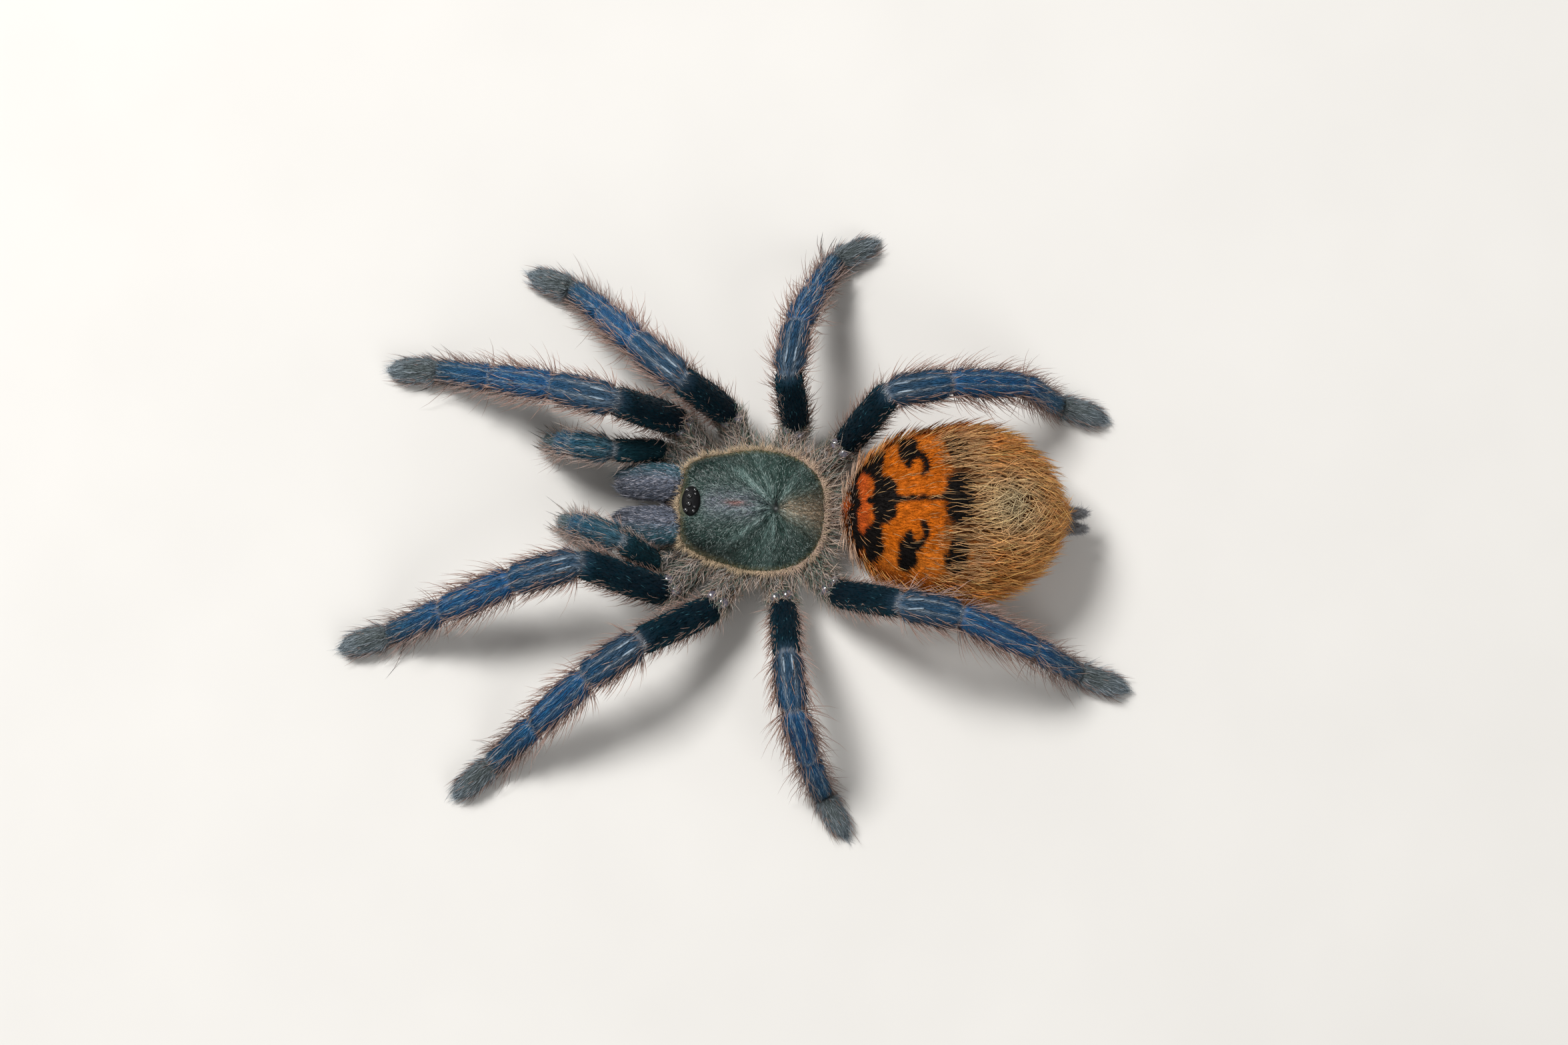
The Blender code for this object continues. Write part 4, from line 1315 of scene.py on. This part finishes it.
def shell_point(share, turn):
    """A point of the shell's top at a share of the way from the fovea to the rim."""
    across, along = rim(turn)
    edge_x = shell_middle[0] + across / widest * shell_size[0] / 2
    edge_y = shell_middle[1] + along * SHELL_LENGTH / 2
    flat = FOVEA + (np.stack([edge_x, edge_y], axis=-1) - FOVEA) * share[..., None]
    steepness = 2.3 + 40 * np.maximum(0, np.cos(turn)) ** 3
    rise = shell_size[2] - RIM_HEIGHT
    height = shell_low[2] + RIM_HEIGHT + rise * (1 - share**steepness)
    height = height - FOVEA_DEPTH * np.exp(-((share / 0.1) ** 2))
    angle = np.abs(np.arctan2(flat[..., 0] - FOVEA[0], FOVEA[1] - flat[..., 1]))
    for where, deep, narrow in FURROWS:
        height = height - deep * MM * bell(angle, where, narrow) * bell(share, 0.42, 0.2)
    return np.concatenate([flat, height[..., None]], axis=-1)


fine_turns = np.linspace(0, 2 * math.pi, 2001)
spokes = shell_point(np.ones(2001), fine_turns)[:, :2] - FOVEA
swept = np.abs(spokes[:-1, 0] * spokes[1:, 1] - spokes[:-1, 1] * spokes[1:, 0])
swept = np.concatenate([[0], np.cumsum(swept)])


def even_turn(share):
    """A turn round the fovea such that equal shares take in equal parts of the shell."""
    return np.interp(share % 1, swept / swept[-1], fine_turns)


# %% [markdown]
# The shell is drawn inwards ring by ring: first its flat underside, then up over the
# rim, and then in to the pit. The points lie on spokes that run out from the pit, as
# the furrows do, so a shallow furrow needs few of them.

# %% Draw the shell in from its rim
STEPS_IN = (
    0.99, 0.975, 0.955, 0.93, 0.9, 0.86, 0.82, 0.77, 0.72, 0.66, 0.6, 0.54,
    0.48, 0.42, 0.36, 0.3, 0.25, 0.2, 0.16, 0.125, 0.095, 0.07, 0.05, 0.03,
)
UNDERSIDE, UNDERSIDE_SHARE = -1, 0.96  # the underside's edge lies a little inside the rim
shell_bm = bmesh.new()
turns = even_turn((np.arange(RIM_SIDES) + 0.5) / RIM_SIDES)
# Each ring has its share of the way out from the pit, and its height up the rim's edge.
shell_rings = [(1.0, UNDERSIDE), (1.0, 0.0), (1.003, 0.35), (1.0, 1)]
shell_rings += [(share, 1) for share in STEPS_IN]
ring = bmesh.ops.create_circle(shell_bm, cap_ends=True, segments=RIM_SIDES, radius=MM)["verts"]
for row, (share, top) in enumerate(shell_rings):
    ring = next_ring(shell_bm, ring) if row else ring
    spots = shell_point(np.full(RIM_SIDES, UNDERSIDE_SHARE if top == UNDERSIDE else share), turns)
    if top < 1:
        spots[:, 2] = shell_low[2] + max(0.0, top) * RIM_HEIGHT
    for k, v in enumerate(ring):
        v.co = spots[k]
bmesh.ops.contextual_create(shell_bm, geom=ring_edges(ring))

# %% [markdown]
# The shell is bottle green under a bloom of fine hair. Paler streaks run out from the
# pit, a greyish violet band joins it to the eyes, and beige hair fills a wedge behind.

# %% Colours of the shell
SHELL_GREEN = paint(26, 54, 47)
SHELL_DARK = paint(14, 30, 27)
SHELL_PALE = paint(138, 164, 158)
BAND_VIOLET = paint(116, 114, 130)
BAND_RUST = paint(176, 96, 70)
WEDGE_BEIGE = paint(178, 156, 130)
RIM_OLIVE = paint(104, 96, 60)


def ray_noise(angle, seed):
    """A wavy value round the fovea, different for each direction."""
    dice = np.random.default_rng(seed)
    total = np.zeros(np.shape(angle))
    for waves in (5, 9, 14, 23, 37, 58):
        total += np.sin(angle * waves + dice.random() * 6.3) / math.sqrt(waves)
    return total


def shell_colour(points, share, luck):
    """The shell's colour at places on its top."""
    ahead = (FOVEA[1] - points[..., 1]) / MM
    aside = (points[..., 0] - FOVEA[0]) / MM
    away = np.hypot(ahead, aside)
    angle = np.arctan2(aside, ahead)
    tone = blend(SHELL_GREEN, SHELL_PALE, 0.5 * luck**3)
    corner = soft_step(ahead, 4.2, 4.5) * soft_step(np.abs(aside), 1.9, 1.6)
    tone = blend(tone, SHELL_DARK, 0.9 * corner + 0.1)
    streak = np.clip(0.1 + 1.5 * ray_noise(angle, seed=3), -0.5, 1)
    streak = streak * np.exp(-away / 2.6) * soft_step(away, 0.5, 0.5)
    tone = blend(tone, SHELL_PALE, 0.95 * streak)
    cervical = bell(np.abs(angle), 0.72, 0.05) * soft_step(away, 1.4, 1.0) * soft_step(-away, -4.2, 1.5)
    tone = blend(tone, SHELL_PALE, 0.5 * cervical)
    band = bell(aside, 0, 0.75) * soft_step(ahead, 1.2, 2.0) * soft_step(-ahead, -5.6, 1.0)
    tone = blend(tone, BAND_VIOLET, 0.6 * band)
    tone = blend(tone, BAND_RUST, 0.55 * bell(aside, -0.1, 0.14) * bell(ahead, 3.1, 0.55))
    wedge = soft_step(-ahead, 0.5, 0.8) * bell(aside, 0, 0.3 + 0.22 * np.maximum(-ahead, 0))
    tone = blend(tone, WEDGE_BEIGE, 0.85 * wedge)
    # The pit and the slit across it are painted nearly black, as painted shade in the hollow.
    slit = 0.7 * bell(aside, 0, 0.75) * bell(ahead, 0.02, 0.09)
    tone = blend(tone, SHELL_DARK * 0.4, bell(away, 0, 0.3) + slit)
    return blend(tone, RIM_OLIVE, 0.8 * soft_step(share, 0.94, 0.06))


shell_finish, nodes, links, shader = new_material("bottle_green_shell", roughness=0.42, sheen=0.1)
fine = grain(nodes, links, own_place(nodes), scale=9000)
speckled = shade_by(nodes, links, stored(nodes, "tint"), spread(nodes, links, fine, 0.6, 1.35))
links.new(speckled, shader.inputs["Base Color"])
links.new(spread(nodes, links, fine, 0.55, 0.34), shader.inputs["Roughness"])
bump(nodes, links, fine, shader, strength=0.5, distance=0.00006)
shell = object_from("shell", shell_bm, shell_finish)
spots = np.empty(len(shell.data.vertices) * 3)
shell.data.vertices.foreach_get("co", spots)
spots = spots.reshape(-1, 3)
row_shares = np.repeat([s for s, _ in shell_rings], RIM_SIDES)
colours = shell_colour(spots, row_shares, np.full(len(spots), 0.3))
layer = shell.data.attributes.new("tint", "FLOAT_COLOR", "POINT")
layer.data.foreach_set("color", np.concatenate([colours, np.ones((len(colours), 1))], axis=1).ravel())
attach(shell, "root")
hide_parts("carapace")

# %% [markdown]
# ## Eyes
# Eight small eyes sit close together on a black mound near the front edge. They are
# clear domes over dark cups, so a glossy coat and a near-black base give the wet
# sparkle of real ones.

# %% The eye mound and the eyes
turret_low, turret_high = (np.array(corner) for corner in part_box("eye_turret"))
turret_middle = (turret_low + turret_high) / 2
turret_middle[2] = turret_low[2]  # the mound is the upper half of a ball
MOUND = np.array([1.2, 0.74, 0.5]) * MM  # half its width, half its length, and its height
EYES = (  # of one side: mm aside, mm ahead, radius in mm
    (0.31, 0.14, 0.215), (0.80, 0.34, 0.20), (0.84, -0.24, 0.17), (0.52, -0.30, 0.125),
)
turret_bm, eyes_bm = bmesh.new(), bmesh.new()
add_ball(turret_bm, turret_middle - 0.02 * MM * UP, radius=1, around=40, down=20, stretch=MOUND)
for aside, ahead, radius in EYES:
    for side in (-1, 1):
        from_middle = (aside * MM / MOUND[0]) ** 2 + (ahead * MM / MOUND[1]) ** 2
        height = MOUND[2] * math.sqrt(1 - from_middle)
        at = turret_middle + np.array([side * aside * MM, -ahead * MM, height - 0.02 * MM])
        add_ball(eyes_bm, at, radius=radius * MM, around=24, down=16)
        add_ball(turret_bm, at - 0.07 * MM * UP, radius=radius * MM * 1.14, around=20, down=12)
mound_finish, nodes, links, shader = new_material("black_mound", roughness=0.6, specular=0.15)
dots = grain(nodes, links, own_place(nodes), scale=6000)
soot = between(nodes, links, dots, paint(8, 8, 9), paint(18, 18, 20))
links.new(soot, shader.inputs["Base Color"])
bump(nodes, links, dots, shader, strength=0.3, distance=0.00004)
turret = object_from("eye_mound", turret_bm, mound_finish)
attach(turret, "root")
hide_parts("eye_turret")
eye_finish, nodes, links, shader = new_material("wet_eye", roughness=0.08, specular=0.9, coat=1.0)
shader.inputs["Coat Roughness"].default_value = 0.02
cloud = grain(nodes, links, own_place(nodes), scale=3000)
wet = between(nodes, links, cloud, paint(8, 8, 10), paint(30, 28, 30))
links.new(wet, shader.inputs["Base Color"])
eyes = object_from("eyes", eyes_bm, eye_finish)
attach(eyes, "root")

# %% [markdown]
# ## Hair on the shell
# The bloom on the shell is a scatter of tiny pale hairs over dark ones. They follow the
# furrows near the pit and lose their order towards the edge. A beige fringe crosses
# itself all round the rim, and longer grey shag comes out from under it.

# %% Short hair over the shell, and the fringe round it
speckle_hair = hair_finish("pale_speckle_hair", roughness=0.4)
fringe_hair = hair_finish("beige_fringe", roughness=0.45)
SPECKLE_DEEP = paint(18, 44, 37)
SPECKLE_MID = paint(66, 98, 90)
SPECKLE_PALE = paint(192, 206, 200)


def scatter_shell(rows, columns, dice, inner, outer):
    """Roots over the shell, as scatter gives them for a tube."""
    row, column, cells = spread_evenly(rows, columns, dice)
    share = np.sqrt(inner**2 + (outer**2 - inner**2) * row)
    turn = even_turn(column)
    root = shell_point(share, turn)
    outward = unit(shell_point(np.minimum(share + 0.01, 1.0), turn) - shell_point(share - 0.01, turn))
    round_way = unit(shell_point(share, turn + 0.01) - shell_point(share, turn - 0.01))
    normal = unit(np.cross(outward, round_way))
    normal *= np.sign(normal[:, 2:])
    return {
        "share": share, "turn": turn, "root": root - normal * 0.02 * MM, "normal": normal,
        "forward": outward, "round": round_way, "patch": cells, "luck": dice.random(len(root)),
    }


def straight_out(field):
    """Makes the hairs' way level and straight outwards, instead of along the shell."""
    outward = unit(field["forward"] * np.array([1, 1, 0]) + 1e-9)
    field["normal"] = np.tile(UP, (len(outward), 1))
    field["forward"], field["round"] = outward, np.cross(UP, outward)
    return field


dice = np.random.default_rng(600)
field = scatter_shell(86, 136, dice, 0.07, 0.985)
share, luck = field["share"], field["luck"]
field = lay(
    field, dice, lift=9, lift_spread=5, stray=9 + 34 * share,
    length=(0.46 - 0.1 * share) * MM, width=0.047 * MM, droop=0.3,
)
speckle = np.searchsorted([0.5, 0.83], luck, side="right")  # half the hairs are dark
tone = np.array([SPECKLE_DEEP, SPECKLE_MID, SPECKLE_PALE])[speckle]
tone = blend(tone, shell_colour(field["root"], share, luck), 0.55)
field = tint_hairs(field, tone, 0.45, 1.3)
from_eyes = (field["root"][:, :2] - turret_middle[:2]) / (np.array([1.3, 0.85]) * MM)
clear_of_eyes = np.hypot(*from_eyes.T) > 1
grow("coat_shell", keep(field, clear_of_eyes), speckle_hair)

FRINGE_BEIGE = paint(206, 182, 150)
FRINGE_PINK = paint(206, 176, 160)
dice = np.random.default_rng(610)
field = scatter_shell(7, 330, dice, 0.975, 1.0)
behind = soft_step(-np.cos(field["turn"]), 0.3, 0.6)
wisps = 0.5 + 0.28 * np.sin(field["turn"] * 31) * np.sin(field["turn"] * 13 + 1) + 0.25 * behind
field = lay(
    straight_out(field), dice, lift=12, lift_spread=12, stray=48,
    length=wisps * MM, width=0.038 * MM, droop=0.5,
)
tone = blend(FRINGE_BEIGE, FRINGE_PINK, behind * field["luck"])
grow("fringe_shell", tint_hairs(field, tone, 0.7, 1.1), fringe_hair)

# %% [markdown]
# The shell overhangs the hips, and gaps would show under it. Long grey shag comes out
# from under the rim and fills them. It is rooted at many heights, so that it has depth.

# %% Long shag from under the rim, which closes the gaps between the hips
dice = np.random.default_rng(620)
field = scatter_shell(10, 310, dice, 0.86, 0.98)
ahead = soft_step(np.cos(field["turn"]), 0.45, 0.3)
behind = soft_step(-np.cos(field["turn"]), 0.55, 0.4)
field["root"][:, 2] = shell_low[2] - (0.15 + 1.5 * dice.random(len(ahead))) * MM
field = lay(
    straight_out(field), dice, lift=20, lift_spread=16, stray=26,
    length=(1.9 - 0.9 * ahead + 0.7 * behind) * MM, width=0.058 * MM, droop=0.35,
)
field = shag_colours(field, dice, 0.45 + 0.55 * behind)
grow("shag_under_shell", field, shag_hair, cuts=2)

# %% [markdown]
# ## Fangs, claws and the plate below
# The fangs fold back under the jaws, black and polished. Each foot ends in two tiny
# hooked claws, almost hidden by the brush of hair. The plate between the hips is a low
# dome with a velvety finish. Fangs and plate are hard, so they keep the solids' form:
# each is a copy of its solid, made smooth, and the plate's flat underside is domed.

# %% A smooth copy of a solid
def smooth_copy(node, name, material, reshape=None):
    """A merged copy of a solid with Subdivision Surface, which takes the solid's place.
    A rule may change its form before it is made smooth."""
    bm = bmesh.new()
    bm.from_mesh(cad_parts[node].data)
    bmesh.ops.remove_doubles(bm, verts=bm.verts, dist=1e-6)
    bmesh.ops.join_triangles(bm, faces=bm.faces, angle_face_threshold=0.6, angle_shape_threshold=0.9)
    if reshape is not None:
        reshape(bm)
    piece = object_from(name, bm, material)
    softer = piece.modifiers.new("softer", "SUBSURF")
    softer.levels = softer.render_levels = 2
    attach(piece, "root")
    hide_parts(node)
    return piece


fang_finish, nodes, links, shader = new_material("polished_fang", roughness=0.18, specular=0.7, coat=0.6)
cloud = grain(nodes, links, own_place(nodes), scale=900)
horn = between(nodes, links, cloud, paint(16, 10, 10), paint(46, 20, 16))
links.new(horn, shader.inputs["Base Color"])
for side in "lr":
    smooth_copy(f"fang_{side}", f"polished_fang_{side}", fang_finish)
plate_finish, nodes, links, shader = new_material("velvet_plate", roughness=0.75, specular=0.15, sheen=0.1)
nap = grain(nodes, links, own_place(nodes), scale=7000, stretch=(1, 0.4, 1))
tufts = spread(nodes, links, nap, 0, 1)
velvet = between(nodes, links, tufts, paint(20, 18, 19), paint(44, 40, 40))
links.new(velvet, shader.inputs["Base Color"])
bump(nodes, links, nap, shader, strength=0.6, distance=0.00008)

PLATE_DOME = 0.26 * MM  # how far the middle of the plate stands below its edge
plate_middle, plate_half = (core_low + core_high) / 2, (core_high - core_low) / 2


def underside(x, y):
    """Height of the plate's domed underside."""
    reach = np.hypot((x - plate_middle[0]) / plate_half[0], (y - plate_middle[1]) / plate_half[1])
    return core_low[2] + PLATE_DOME * np.minimum(reach, 1.1) ** 2


def dome(bm):
    """Gives the flat underside rings of its own and bends it into a low dome."""
    low = core_low[2]
    flat = [face for face in bm.faces if max(v.co.z for v in face.verts) < low + 0.01 * MM]
    for _ in range(4):
        bmesh.ops.inset_region(bm, faces=flat, thickness=0.32 * MM, use_even_offset=True)
    for v in bm.verts:
        if v.co.z < low + 0.25 * MM:
            v.co.z = underside(v.co.x, v.co.y)


smooth_copy("sternum", "breast_plate", plate_finish, reshape=dome)

# %% [markdown]
# Short dark hair, swept backwards, covers the plate and the filled middle round it, so
# that from below the plate's edge doesn't show as an oval. It grows on no tube. Its
# roots are spread over an oval, at the height of the plate or of the filling.

# %% Short dark hair over the breast plate
HAIR_REACH = 1.4  # how far out it grows, against the plate's own half sizes
dice = np.random.default_rng(700)
row, column, cells = spread_evenly(44, 62, dice)
reach, turn = HAIR_REACH * np.sqrt(row), 2 * math.pi * column
x = plate_middle[0] + plate_half[0] * reach * np.cos(turn)
y = plate_middle[1] + plate_half[1] * reach * np.sin(turn)
off_core = ((x - core_middle[0]) / core_half[0]) ** 2 + ((y - core_middle[1]) / core_half[1]) ** 2
body = core_middle[2] - core_half[2] * np.sqrt(np.maximum(1 - off_core, 0.05))
count = len(reach)
field = {
    "root": np.stack([x, y, np.where(reach < 1, underside(x, y), body) + 0.02 * MM], axis=1),
    "normal": np.tile(-UP, (count, 1)), "forward": np.tile((0.0, 1.0, 0.0), (count, 1)),
    "round": np.tile((1.0, 0.0, 0.0), (count, 1)), "patch": cells, "luck": dice.random(count),
}
field = lay(
    field, dice, lift=26, lift_spread=9, stray=26,
    length=0.7 * MM, width=0.058 * MM, droop=0.3,
)
tone = blend(HIP_DARK * 0.6, HIP_GREY * 0.75, field["luck"] ** 2)
grow("coat_breast_plate", tint_hairs(field, tone, 0.6, 1.1), shag_hair, cuts=0)

# %% [markdown]
# A claw is a thin cone, bent forwards and down like a cat's. Two stand side by side at
# the tip of each foot.

# %% Claws
CLAW_LENGTH, CLAW_RADIUS, CLAW_TIP_RADIUS = 0.5 * MM, 0.07 * MM, 0.012 * MM
claw_bm = bmesh.new()
for name in LEG_NAMES:
    tube = limbs[name]
    tip, axis = tube["middle"][-1], unit(tube["axis"][-1] * np.array([1, 1, 0]))
    across = np.cross(axis, UP)
    for side in (-1, 1):
        claw = bmesh.ops.create_cone(
            claw_bm, cap_ends=True, segments=8,
            radius1=CLAW_RADIUS, radius2=CLAW_TIP_RADIUS, depth=CLAW_LENGTH,
        )["verts"]
        for v in claw:
            share = v.co.z / CLAW_LENGTH + 0.5
            hook = tip + axis * (0.02 + 0.42 * share) * MM
            hook = hook + across * side * (0.13 + 0.05 * share) * MM
            hook = hook + UP * (0.1 - 0.35 * share**2) * MM
            v.co = hook + across * v.co.x + UP * v.co.y
claws = object_from("claws", claw_bm, fang_finish)
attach(claws, "root")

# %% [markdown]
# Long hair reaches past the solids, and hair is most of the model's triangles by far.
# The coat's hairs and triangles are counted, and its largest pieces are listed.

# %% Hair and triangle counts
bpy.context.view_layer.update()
hairs, triangles = (sum(piece[k] for piece in coat_pieces) for k in (1, 2))
print("coat pieces", len(coat_pieces), "hairs", hairs, "triangles", triangles)
print("largest", sorted(coat_pieces, key=lambda piece: -piece[2])[:8])
